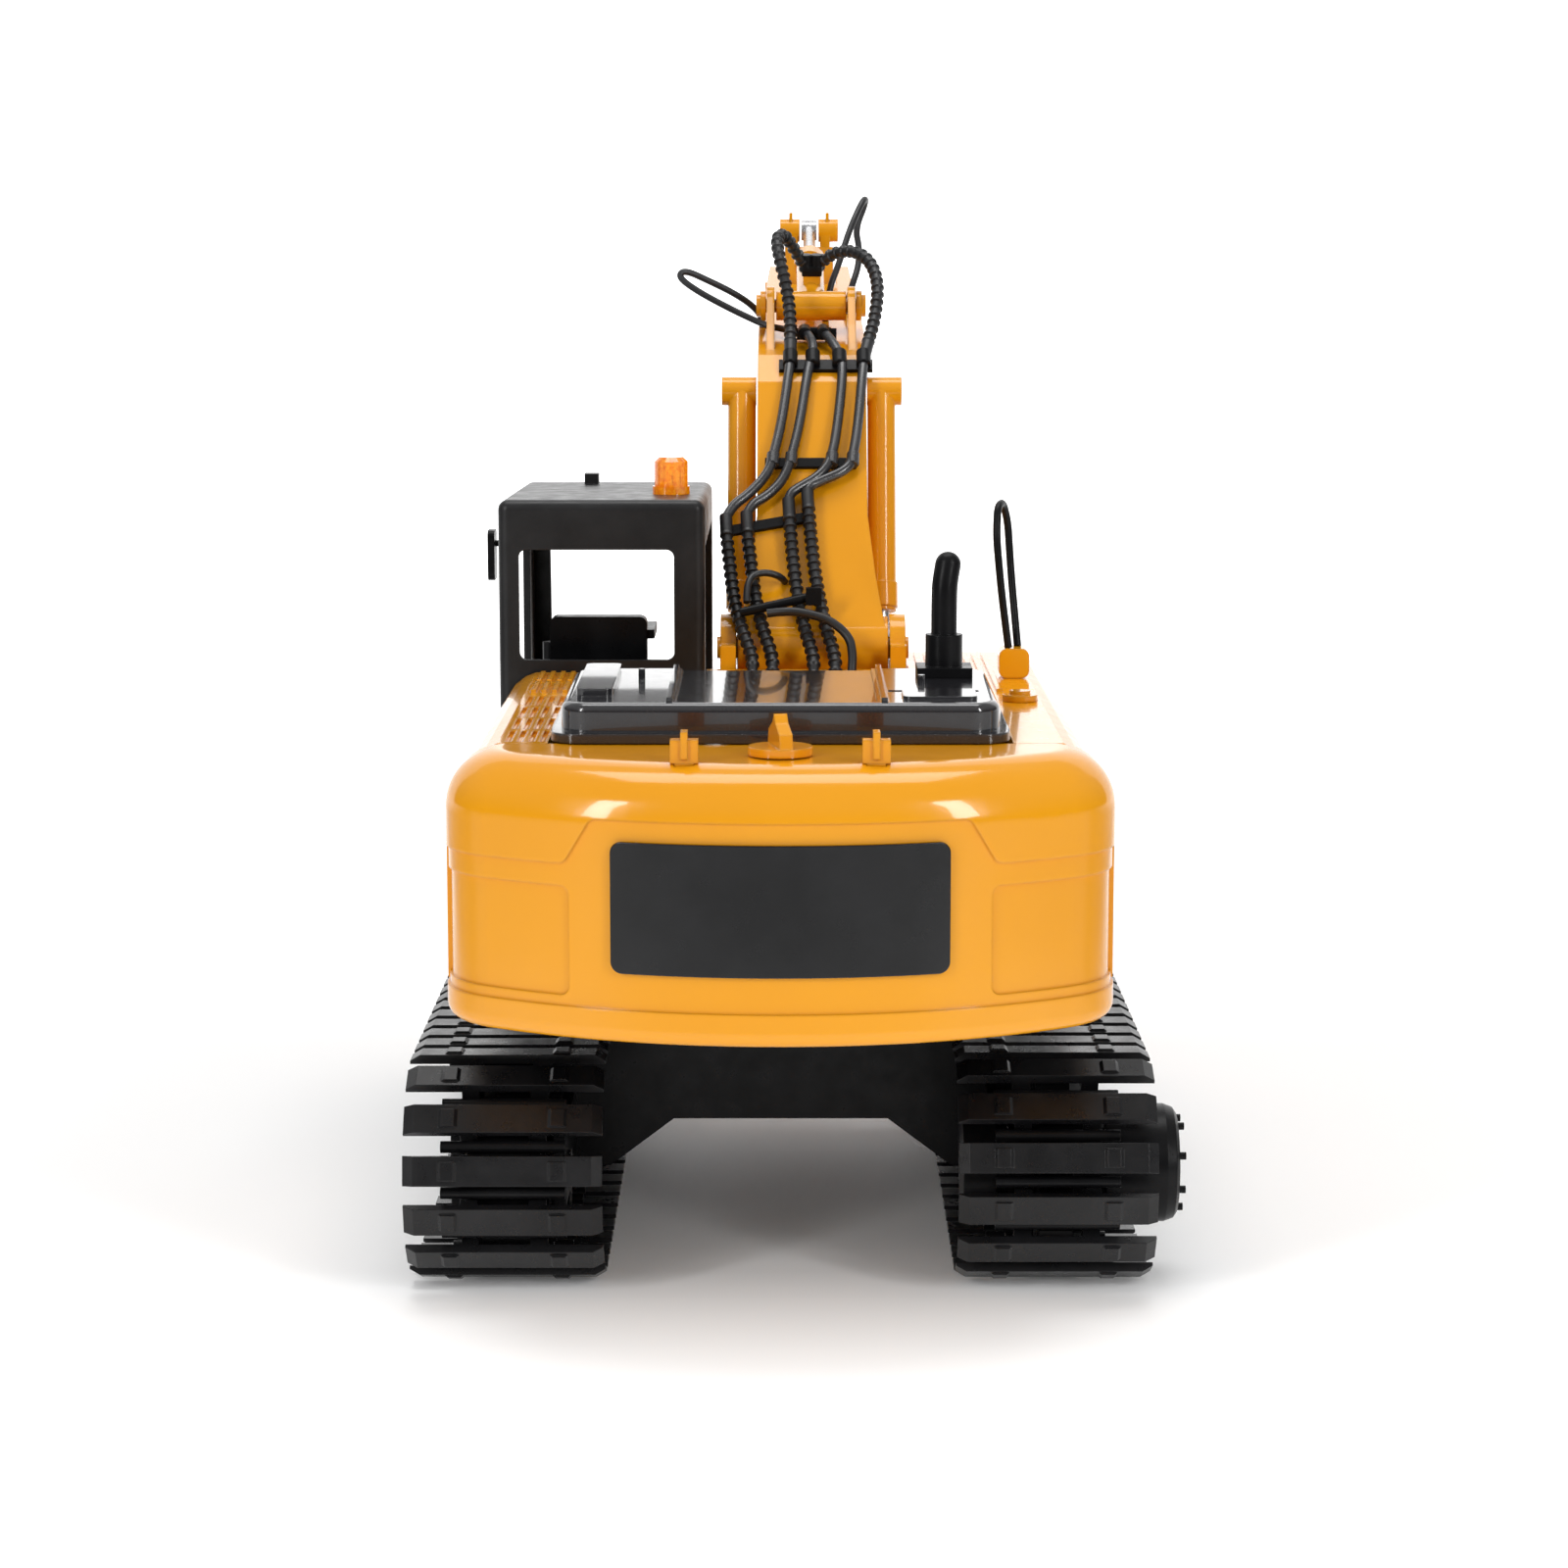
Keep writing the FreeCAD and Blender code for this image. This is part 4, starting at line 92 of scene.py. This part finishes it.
def add_studio():
    """A dim room that brightens overhead, a wide box above and a tall box on each side."""
    world = bpy.data.worlds.new("studio")
    bpy.context.scene.world = world
    world.use_nodes = True
    nodes, links = world.node_tree.nodes, world.node_tree.links
    where = nodes.new("ShaderNodeTexCoord")
    split = nodes.new("ShaderNodeSeparateXYZ")
    ramp = nodes.new("ShaderNodeValToRGB")
    ramp.color_ramp.elements[0].position = 0.02
    ramp.color_ramp.elements[0].color = (0.075, 0.075, 0.08, 1)
    ramp.color_ramp.elements[1].position = 0.55
    ramp.color_ramp.elements[1].color = (0.62, 0.62, 0.62, 1)
    links.new(where.outputs["Generated"], split.inputs["Vector"])
    links.new(split.outputs["Z"], ramp.inputs["Fac"])
    links.new(ramp.outputs["Color"], nodes["Background"].inputs["Color"])
    nodes["Background"].inputs["Strength"].default_value = 0.8
    add_area("top_box", (0, 0.14, 1.45), (0, -0.05, 0.1), 1.0, 0.6, 8.5)
    for name, x in (("left_box", -0.95), ("right_box", 0.95)):
        add_area(name, (x, -1.15, 0.72), (0, -0.05, 0.12), 0.16, 0.8, 7.4)
    scene = bpy.context.scene
    scene.view_settings.view_transform = "Standard"
    scene.view_settings.exposure = 0.0


def add_floor(material):
    """Flat floor that turns up into a backdrop far ahead, in metres."""
    near, bend_start, bend_radius, top, half_width, steps = -3.0, 2.2, 0.8, 3.5, 4.0, 12
    rows = [(near, 0.0), (bend_start, 0.0)]
    for step in range(1, steps + 1):
        angle = math.pi / 2 * step / steps
        rows.append((bend_start + bend_radius * math.sin(angle), bend_radius * (1 - math.cos(angle))))
    rows.append((bend_start + bend_radius, top))
    mesh = bpy.data.meshes.new("floor")
    points = [(x, y, z) for y, z in rows for x in (-half_width, half_width)]
    faces = [(2 * n, 2 * n + 1, 2 * n + 3, 2 * n + 2) for n in range(len(rows) - 1)]
    mesh.from_pydata(points, [], faces)
    mesh.polygons.foreach_set("use_smooth", [True] * len(faces))
    mesh.materials.append(material)
    floor = bpy.data.objects.new("floor", mesh)
    bpy.context.scene.collection.objects.link(floor)


# ---------------------------------------------------------------------------- materials

def new_material(name, color, roughness, **settings):
    """A Principled material; settings are socket names with spaces written as underscores."""
    material = bpy.data.materials.new(name)
    material.use_nodes = True
    shader = material.node_tree.nodes["Principled BSDF"]
    shader.inputs["Base Color"].default_value = (*color, 1)
    shader.inputs["Roughness"].default_value = roughness
    for key, number in settings.items():
        shader.inputs[key.replace("_", " ")].default_value = number
    return material, shader


def add_node(material, kind, **settings):
    """A shader node; settings are its socket values or its own properties."""
    node = material.node_tree.nodes.new(kind)
    for key, number in settings.items():
        if key in node.inputs:
            node.inputs[key].default_value = number
        else:
            setattr(node, key, number)
    return node


def join(material, source, target):
    material.node_tree.links.new(source, target)


def noise(material, scale, detail=3.0, rough=0.55):
    """Noise over the object's own coordinates; scale counts cells per metre."""
    where = add_node(material, "ShaderNodeTexCoord")
    texture = add_node(material, "ShaderNodeTexNoise", Scale=scale, Detail=detail, Roughness=rough)
    join(material, where.outputs["Object"], texture.inputs["Vector"])
    return texture


def vary_color(material, shader, color_a, color_b, scale, low=0.35, high=0.65):
    """Base colour that drifts between two colours."""
    texture = noise(material, scale)
    ramp = add_node(material, "ShaderNodeValToRGB")
    ramp.color_ramp.elements[0].position = low
    ramp.color_ramp.elements[1].position = high
    ramp.color_ramp.elements[0].color = (*color_a, 1)
    ramp.color_ramp.elements[1].color = (*color_b, 1)
    join(material, texture.outputs["Fac"], ramp.inputs["Fac"])
    join(material, ramp.outputs["Color"], shader.inputs["Base Color"])


def vary_roughness(material, shader, low, high, scale):
    texture = noise(material, scale, 4.0)
    span = add_node(material, "ShaderNodeMapRange")
    span.inputs["From Min"].default_value = 0.3
    span.inputs["From Max"].default_value = 0.7
    span.inputs["To Min"].default_value = low
    span.inputs["To Max"].default_value = high
    join(material, texture.outputs["Fac"], span.inputs["Value"])
    join(material, span.outputs["Result"], shader.inputs["Roughness"])


def add_bump(material, shader, scale, height, strength=1.0, edge=0.0004):
    """Fine surface grain over softened edges."""
    texture = noise(material, scale, 5.0)
    bump = add_node(material, "ShaderNodeBump")
    bump.inputs["Strength"].default_value = strength
    bump.inputs["Distance"].default_value = height
    join(material, texture.outputs["Fac"], bump.inputs["Height"])
    if edge:
        bevel = add_node(material, "ShaderNodeBevel", samples=6)
        bevel.inputs["Radius"].default_value = edge
        join(material, bevel.outputs["Normal"], bump.inputs["Normal"])
    join(material, bump.outputs["Normal"], shader.inputs["Normal"])


def yellow_plastic(name="yellow_plastic", edge=0.0008):
    """Glossy moulded yellow-orange plastic with a faint orange peel."""
    material, shader = new_material(name, (0.80, 0.33, 0.006), 0.16, Coat_Weight=0.4,
                                    Coat_Roughness=0.025, Specular_IOR_Level=0.26)
    vary_color(material, shader, (0.785, 0.318, 0.005), (0.815, 0.338, 0.007), 14)
    vary_roughness(material, shader, 0.13, 0.2, 160)
    add_bump(material, shader, 900, 0.00003, 0.3, edge)
    return material


def black_plastic(name, color, low, high, grain, edge=0.0004, **more):
    """Moulded black plastic: light haze in the colour, uneven sheen, fine grain."""
    material, shader = new_material(name, color, low, **more)
    paler = tuple(c * 1.7 + 0.002 for c in color)
    vary_color(material, shader, color, paler, 60)
    vary_roughness(material, shader, low, high, 220)
    add_bump(material, shader, 2600, grain, 0.6, edge)
    return material


def along(material, axis, low, high, value_low, value_high):
    """A number that changes between two distances from the origin along X or Y, in metres."""
    where = add_node(material, "ShaderNodeTexCoord")
    split = add_node(material, "ShaderNodeSeparateXYZ")
    span = add_node(material, "ShaderNodeMapRange")
    span.inputs["From Min"].default_value = low
    span.inputs["From Max"].default_value = high
    span.inputs["To Min"].default_value = value_low
    span.inputs["To Max"].default_value = value_high
    join(material, where.outputs["Object"], split.inputs["Vector"])
    distance = split.outputs[axis]
    if axis == "X":
        both_sides = add_node(material, "ShaderNodeMath", operation="ABSOLUTE")
        join(material, distance, both_sides.inputs[0])
        distance = both_sides.outputs["Value"]
    join(material, distance, span.inputs["Value"])
    return span.outputs["Result"]


def combine(material, operation, first, second):
    """Two numbers put together by one arithmetic step."""
    node = add_node(material, "ShaderNodeMath", operation=operation)
    join(material, first, node.inputs[0])
    join(material, second, node.inputs[1])
    return node.outputs["Value"]


def floor_white():
    """White sweep with painted light shining from within at the back and at the near end but not under the
    machine, and painted shade darkening it outside the set.
    """
    material, shader = new_material("floor_white", (0.92, 0.92, 0.92), 0.6)
    shader.inputs["Emission Color"].default_value = (1, 1, 1, 1)
    # painted light: emission brightens the floor at the near end and towards the back, and is zero under the
    # machine so only its shadow there stays dark
    painted_glow = combine(material, "ADD", along(material, "Y", 0.12, 0.9, 0.05, 1.0),
                   along(material, "Y", -0.22, -0.12, 0.46, 0.0))
    # painted shade: 1 inside the set, falling to 0 behind the near end and off to the sides, where the
    # floor's colour turns grey
    clear_of_painted_shade = combine(material, "MULTIPLY", along(material, "Y", -0.46, -0.34, 0.0, 1.0),
                  along(material, "X", 0.34, 0.48, 1.0, 0.0))
    join(material, painted_glow, shader.inputs["Emission Strength"])
    vary_color(material, shader, (0.915, 0.915, 0.915), (0.93, 0.93, 0.93), 2)
    tint = shader.inputs["Base Color"].links[0].from_socket
    # mixes in the 0.3 grey of the painted shade outside the set
    dim = add_node(material, "ShaderNodeMixRGB", Color1=(0.3, 0.3, 0.3, 1))
    join(material, clear_of_painted_shade, dim.inputs["Fac"])
    join(material, tint, dim.inputs["Color2"])
    join(material, dim.outputs["Color"], shader.inputs["Base Color"])
    return material


def hood_graphite():
    """Glossy graphite moulding with a fine metallic fleck."""
    material, shader = new_material("hood_graphite", (0.018, 0.018, 0.021), 0.16, Coat_Weight=0.8,
                                    Coat_Roughness=0.03)
    vary_color(material, shader, (0.016, 0.016, 0.019), (0.030, 0.029, 0.033), 3600, 0.45, 0.75)
    vary_roughness(material, shader, 0.13, 0.2, 260)
    add_bump(material, shader, 1200, 0.00001, 0.2, 0.0007)
    return material


def amber_lens():
    """Clear amber plastic that lets light through, with faint painted light shining from within it."""
    # painted light: Emission_Strength 0.16 and the orange emission colour below make the lens shine faintly
    # from within
    material, shader = new_material("amber_clear", (1.0, 0.40, 0.0), 0.08, Transmission_Weight=0.45,
                                    IOR=1.49, Coat_Weight=0.6, Emission_Strength=0.16)
    shader.inputs["Emission Color"].default_value = (1.0, 0.30, 0.0, 1)
    vary_color(material, shader, (0.85, 0.22, 0.0), (1.0, 0.42, 0.01), 900, 0.42, 0.58)
    return material


def bright_steel():
    """Turned steel with a fine, uneven grain."""
    material, shader = new_material("bright_steel", (0.56, 0.56, 0.57), 0.25, Metallic=1.0)
    vary_color(material, shader, (0.50, 0.50, 0.51), (0.62, 0.62, 0.63), 700)
    vary_roughness(material, shader, 0.18, 0.38, 1500)
    add_bump(material, shader, 3000, 0.00001, 0.4, 0.0002)
    return material


def circuit_green():
    material, shader = new_material("circuit_green", (0.01, 0.1, 0.04), 0.35)
    vary_color(material, shader, (0.006, 0.07, 0.03), (0.02, 0.16, 0.06), 400, 0.48, 0.52)
    add_bump(material, shader, 800, 0.00005, 0.5)
    return material


def make_materials():
    """One material for each slot of the record, plus those of the added pieces."""
    return {
        "yellow_shell": yellow_plastic(),
        "hood_gloss": hood_graphite(),
        "dark_plastic": black_plastic("dark_plastic", (0.0035, 0.0035, 0.004), 0.26, 0.38, 0.00004,
                                      Specular_IOR_Level=0.14),
        "cab_black": black_plastic("cab_black", (0.0075, 0.0075, 0.008), 0.3, 0.44, 0.00005,
                                   Specular_IOR_Level=0.34),
        "track_black": black_plastic("track_black", (0.005, 0.005, 0.0056), 0.24, 0.36, 0.00005, 0.0003,
                                     Specular_IOR_Level=0.34),
        "badge_black": black_plastic("badge_black", (0.004, 0.004, 0.0045), 0.2, 0.28, 0.00001,
                                     Specular_IOR_Level=0.4),
        "board_green": circuit_green(),
        "hose_rubber": black_plastic("hose_rubber", (0.008, 0.008, 0.009), 0.34, 0.48, 0.00003, 0,
                                     Specular_IOR_Level=0.5),
        "pipe_grey": black_plastic("pipe_grey", (0.014, 0.014, 0.016), 0.22, 0.34, 0.00002, 0,
                                   Specular_IOR_Level=0.8),
        "amber_lens": amber_lens(),
        "bucket_metal": yellow_plastic("bucket_yellow", 0.0004),
        "metal": bright_steel(),
    }


def dress_nodes(materials):
    """Every CAD node wears the material of its slot."""
    for entry in frame["record"]["subparts"]:
        node = NODES[entry["node"]]
        node.data.materials.clear()
        node.data.materials.append(materials[entry["material_slot"]])


# ------------------------------------------------------------------------ mesh helpers

def new_piece(name, mesh_builder, material, body, *replaced, sharp=35):
    """A mesh piece that rides on a CAD body and may stand for CAD nodes."""
    mesh = bpy.data.meshes.new(name)
    mesh_builder.normal_update()
    mesh_builder.to_mesh(mesh)
    mesh_builder.free()
    mesh.materials.append(material)
    mesh.polygons.foreach_set("use_smooth", [True] * len(mesh.polygons))
    mesh.set_sharp_from_angle(angle=math.radians(sharp))
    piece = bpy.data.objects.new(name, mesh)
    bpy.context.scene.collection.objects.link(piece)
    if body:
        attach(piece, body)
    if replaced:
        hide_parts(*replaced)
    return piece


def smooth_line(points, step):
    """Even points along the NURBS spline that has these points as its control points."""
    curve = bpy.data.curves.new("route", "CURVE")
    curve.dimensions = "3D"
    spline = curve.splines.new("NURBS")
    spline.points.add(len(points) - 1)
    for spot, point in zip(spline.points, points):
        spot.co = (*point, 1)
    spline.order_u = 3
    spline.use_endpoint_u = True
    spline.resolution_u = 12
    holder = bpy.data.objects.new("route", curve)
    bpy.context.scene.collection.objects.link(holder)
    line = [v.co.copy() for v in bpy.data.meshes.new_from_object(holder).vertices]
    bpy.data.objects.remove(holder)
    return even_points(line, step)


def even_points(line, step):
    """The same line with its points a set distance apart."""
    reach = [0.0]
    for a, b in zip(line, line[1:]):
        reach.append(reach[-1] + (b - a).length)
    count = max(2, round(reach[-1] / step))
    result = []
    k = 0
    for n in range(count + 1):
        wanted = reach[-1] * n / count
        while k < len(reach) - 2 and reach[k + 1] < wanted:
            k += 1
        share = (wanted - reach[k]) / max(reach[k + 1] - reach[k], 1e-9)
        result.append(line[k].lerp(line[k + 1], min(share, 1.0)))
    return result


def sweep(mesh, line, radius_at, sides=14):
    """Add a closed tube round a line; radius_at gives the radius at a distance along it."""
    tangent = (line[1] - line[0]).normalized()
    across = tangent.orthogonal().normalized()
    rings = []
    travelled = 0.0
    for n, spot in enumerate(line):
        ahead = line[min(n + 1, len(line) - 1)] - line[max(n - 1, 0)]
        turn = tangent.rotation_difference(ahead.normalized())
        across = turn @ across
        tangent = ahead.normalized()
        if n:
            travelled += (spot - line[n - 1]).length
        radius = radius_at(travelled)
        beside = tangent.cross(across)
        ring = []
        for k in range(sides):
            angle = 2 * math.pi * k / sides
            ring.append(mesh.verts.new(spot + (across * math.cos(angle) + beside * math.sin(angle)) * radius))
        rings.append(ring)
    for low, high in zip(rings, rings[1:]):
        for k in range(sides):
            mesh.faces.new((low[k], low[(k + 1) % sides], high[(k + 1) % sides], high[k]))
    mesh.faces.new(rings[0][::-1])
    mesh.faces.new(rings[-1])


def ribbed(radius, pitch, rib, sleeve=0.0):
    """Radius of a ribbed hose: narrow rings on a plain tube, after a plain end sleeve."""
    def radius_at(distance):
        if distance < sleeve:
            return radius + rib * 0.7
        phase = (distance - sleeve) / pitch % 1.0
        return radius + (rib if phase < 0.3 else 0.0)
    return radius_at


def boxes(mesh, low, high, matrix=None, bevel=0.0):
    """Add a block between two corners, with rounded edges."""
    size = [high[n] - low[n] for n in range(3)]
    centre = [(high[n] + low[n]) / 2 for n in range(3)]
    move = Matrix.Translation(centre) @ Matrix.Diagonal((*size, 1))
    made = bmesh.ops.create_cube(mesh, size=1.0, matrix=(matrix or Matrix()) @ move)
    if bevel:
        edges = {edge for vert in made["verts"] for edge in vert.link_edges}
        bmesh.ops.bevel(mesh, geom=list(edges), offset=bevel, segments=2, affect="EDGES", profile=0.7)


# ------------------------------------------------------------------------------- hoses

BACK_ANGLE = math.atan2(64.0, 50.5)     # slope of the boom's back above its foot
BACK_START = (27.5, 141.0)
PIPE_RADIUS = 1.38 * MM
HOSE_RADIUS = 1.42 * MM
HOSE_RIB = 0.46 * MM
RIB_PITCH = 2.5 * MM
WIRE_RADIUS = 0.95 * MM
FOOT_HOSE_RADIUS = 1.2 * MM
HOSE_SIDES = 18
LEAD_STEP = 0.25 * MM                   # distance between the rings of a swept line
COLLAR_STEP = 0.3 * MM
COLLAR_EDGE = 0.2 * MM                  # softened length at each end of a collar
COLLAR_DROP = 0.25 * MM                 # how much thinner a collar is over that length

# Each pipe's path down the boom's back as (x, distance up from the foot), in mm, from the second
# clamp to its hose's sleeve; then the hose's x at mid height and at the deck.
PIPE_PATHS = (
    ((-2.2, 54), (-3.6, 48.6), (-8.6, 42), (-13.4, 38), (-14.9, 34)),
    ((2.8, 54), (0.8, 47), (-3.4, 41.6), (-8.2, 38.6), (-9.3, 35)),
    ((13.9, 54), (10.9, 48.2), (4.0, 43.6), (2.2, 41.6), (2.0, 39.4)),
    ((19.6, 54), (18.0, 50), (10.9, 46.4), (7.6, 44.6), (7.1, 42.4)),
)
HOSE_ENDS = ((-12.6, -7.5), (-6.8, -2.2), (4.5, 8.6), (10.3, 14.3))
PIPE_TOPS = (
    [(2.6, 84, 212.4), (2.5, 80.5, 209.8)],
    [(6.6, 95, 218.2), (8.6, 90, 216.4), (9.0, 84.5, 212.8), (7.6, 80, 209.2)],
    [(11.8, 95, 218.2), (13.8, 90, 216.4), (16.0, 84.5, 212.8), (17.3, 80, 209.2)],
    [(23.2, 84, 212.4), (22.8, 80.5, 209.8)],
)


def back_point(x, distance, lift):
    """A point over the boom's sloping back, in mm, so far up from its foot and off its face."""
    y = BACK_START[0] + distance * math.cos(BACK_ANGLE) - lift * math.sin(BACK_ANGLE)
    z = BACK_START[1] + distance * math.sin(BACK_ANGLE) + lift * math.cos(BACK_ANGLE)
    return (x, y, z)


def routed(points):
    """A smooth line through a route given in mm."""
    return smooth_line([place(*point) for point in points], LEAD_STEP)


def sleeve(mesh, start, end, radius):
    """A short plain collar round a hose or pipe, with softened ends."""
    line = even_points([place(*start), place(*end)], COLLAR_STEP)
    reach = (line[-1] - line[0]).length

    def radius_at(distance):
        near_end = distance < COLLAR_EDGE or distance > reach - COLLAR_EDGE
        return radius - COLLAR_DROP * near_end

    sweep(mesh, line, radius_at, 20)


def add_pipes(material):
    """Four smooth pipes on the boom's back, with small collars at the clamps."""
    mesh = bmesh.new()
    for top, path in zip(PIPE_TOPS, PIPE_PATHS):
        upper = back_point((top[-1][0] + path[0][0]) / 2, 66, 2.2)
        line = routed(top + [upper] + [back_point(x, far, 2.9) for x, far in path])
        sweep(mesh, line, lambda distance: PIPE_RADIUS, HOSE_SIDES)
        x = path[0][0]
        sleeve(mesh, back_point(x + 0.1, 55.6, 2.6), back_point(x - 0.1, 51.6, 2.8), 1.75 * MM)
    new_piece("boom_pipe_set", mesh, material, "boom", "boom_pipes")


def add_deck_hoses(material):
    """Four ribbed hoses that bend between boom and deck, each with a plain sleeve on top."""
    mesh = bmesh.new()
    for path, (middle, low) in zip(PIPE_PATHS, HOSE_ENDS):
        x, far = path[-1]
        line = routed([back_point(x, far + 0.8, 2.9), back_point(x * 0.9 + middle * 0.1, far - 6, 3.2),
                       (x * 0.5 + middle * 0.5, 37.5, 158), (middle, 30, 149),
                       (middle * 0.5 + low * 0.5, 23, 141), (low, 18, 135.5), (low, 13.6, 131.5),
                       (low, 13.6, 126)])
        sweep(mesh, line, ribbed(HOSE_RADIUS, RIB_PITCH, HOSE_RIB, 6.0 * MM), HOSE_SIDES)
    piece = new_piece("deck_hose_set", mesh, material, None, "deck_hoses", sharp=60)
    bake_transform(piece)


def add_cylinder_hoses(material):
    """Two ribbed loops from the top clamp to the junction block on the stick ram."""
    left = [(2.6, 83.4, 211.8), (2.6, 88, 216.2), (2.6, 92, 220.8), (2.0, 98, 228.3), (-0.5, 104, 238.4),
            (-1.4, 110, 244.2), (0.8, 115, 245.4), (4.0, 119.5, 240.6), (7.0, 122.6, 235.4)]
    right = [(23.2, 83.4, 211.8), (24.4, 88, 216.0), (26.4, 94, 221.9), (27.6, 102, 232), (24.7, 110, 238.8),
             (19.0, 116, 240.9), (12.8, 121, 238.9), (10.2, 123.6, 235.4)]
    mesh = bmesh.new()
    for points in (left, right):
        sweep(mesh, routed(points), ribbed(HOSE_RADIUS, RIB_PITCH, HOSE_RIB, 5.5 * MM), HOSE_SIDES)
    piece = new_piece("ram_hose_set", mesh, material, None, "cylinder_hoses", sharp=60)
    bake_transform(piece)


def add_wires(material):
    """Thin leads: a loop to the left, one over the nose, a lead and a hose round the boom's foot."""
    left = [(4.2, 101.2, 218.0), (-0.4, 105.6, 218.8), (-4.2, 108.6, 219.4), (-14.2, 110, 224),
            (-24, 110, 229.2), (-29.4, 110.4, 233.2), (-27.6, 111.4, 235.2), (-21, 113, 232.2),
            (-14, 115, 228.8), (-8.2, 117, 225), (-5.4, 118.2, 221.4), (-5.3, 118.2, 218.6)]
    right = [(12.8, 126, 220.3), (13.6, 126.5, 229), (16.8, 130, 236.8), (19.4, 136, 245), (22.1, 141, 251.3),
             (24.6, 146, 255.8), (24.8, 150, 254.0), (21.8, 149, 246.6), (23.0, 146, 241), (22.6, 142, 235.4),
             (20.4, 137, 229.6), (18.6, 135, 222.2)]
    mesh = bmesh.new()
    for points in (left, right):
        sweep(mesh, routed(points), lambda distance: WIRE_RADIUS, 12)
    new_piece("boom_wire_set", mesh, material, "boom", "boom_wires")
    upper = [(-9.1, 25.4, 149.0), (-9.2, 28.0, 152.8), (-7.6, 31.2, 155.8), (-3.8, 32.2, 156.4),
             (0.2, 33.4, 155.0), (1.0, 36.6, 153.4)]
    lower = [(-3.5, 22.6, 146.4), (1.5, 21.4, 147.2), (7.0, 21.2, 146.6), (13.4, 20.8, 144.6),
             (18.2, 19.2, 140.4), (18.9, 16.4, 135.9), (18.6, 14.2, 131.6), (18.6, 14.2, 126)]
    mesh = bmesh.new()
    for points, radius in ((upper, WIRE_RADIUS), (lower, FOOT_HOSE_RADIUS)):
        sweep(mesh, routed(points), lambda distance, r=radius: r, 14)
    piece = new_piece("deck_wire_set", mesh, material, None, "deck_wires")
    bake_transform(piece)


def tilted(centre, angle_x):
    """A frame at a point given in mm, turned about X by so many degrees."""
    return Matrix.Translation(place(*centre)) @ Matrix.Rotation(math.radians(angle_x), 4, "X")


def add_junctions(material):
    """Moulded clips: the block the ram hoses end in, and collars where pipes meet the clamp."""
    mesh = bmesh.new()
    slope = math.degrees(math.atan2(21, 88))
    boxes(mesh, (-2.6 * MM, -2.4 * MM, 0), (3.2 * MM, 2.4 * MM, 3.0 * MM),
          tilted((BOOM_X, 123.4, 233.6), slope), 0.5 * MM)
    for x in (7.0, 10.2):
        sleeve(mesh, (x, 122.6, 234.6), (x, 121.6, 239.4), 1.95 * MM)
    new_piece("ram_port_block", mesh, material, "stick_barrel")
    mesh = bmesh.new()
    for x in (2.55, 8.8, 16.2, 22.95):
        sleeve(mesh, (x, 80.6, 209.4), (x, 84.6, 212.9), 2.05 * MM)
    for x in (6.6, 11.8):
        sleeve(mesh, (x, 92.4, 217.6), (x, 96.6, 218.6), 1.9 * MM)
    boxes(mesh, (8.2 * MM, -1.0 * MM, -1.0 * MM), (14.0 * MM, 1.0 * MM, 1.0 * MM),
          tilted((0, 95.6, 218.4), 8), 0.3 * MM)
    new_piece("clamp_collars", mesh, material, "boom")


def main():
    """Camera, light and floor, then materials, then the hoses and leads."""
    add_camera()
    add_studio()
    materials = make_materials()
    add_floor(floor_white())
    dress_nodes(materials)
    rubber = materials["hose_rubber"]
    add_pipes(materials["pipe_grey"])
    add_deck_hoses(rubber)
    add_cylinder_hoses(rubber)
    add_wires(rubber)
    add_junctions(materials["dark_plastic"])


main()
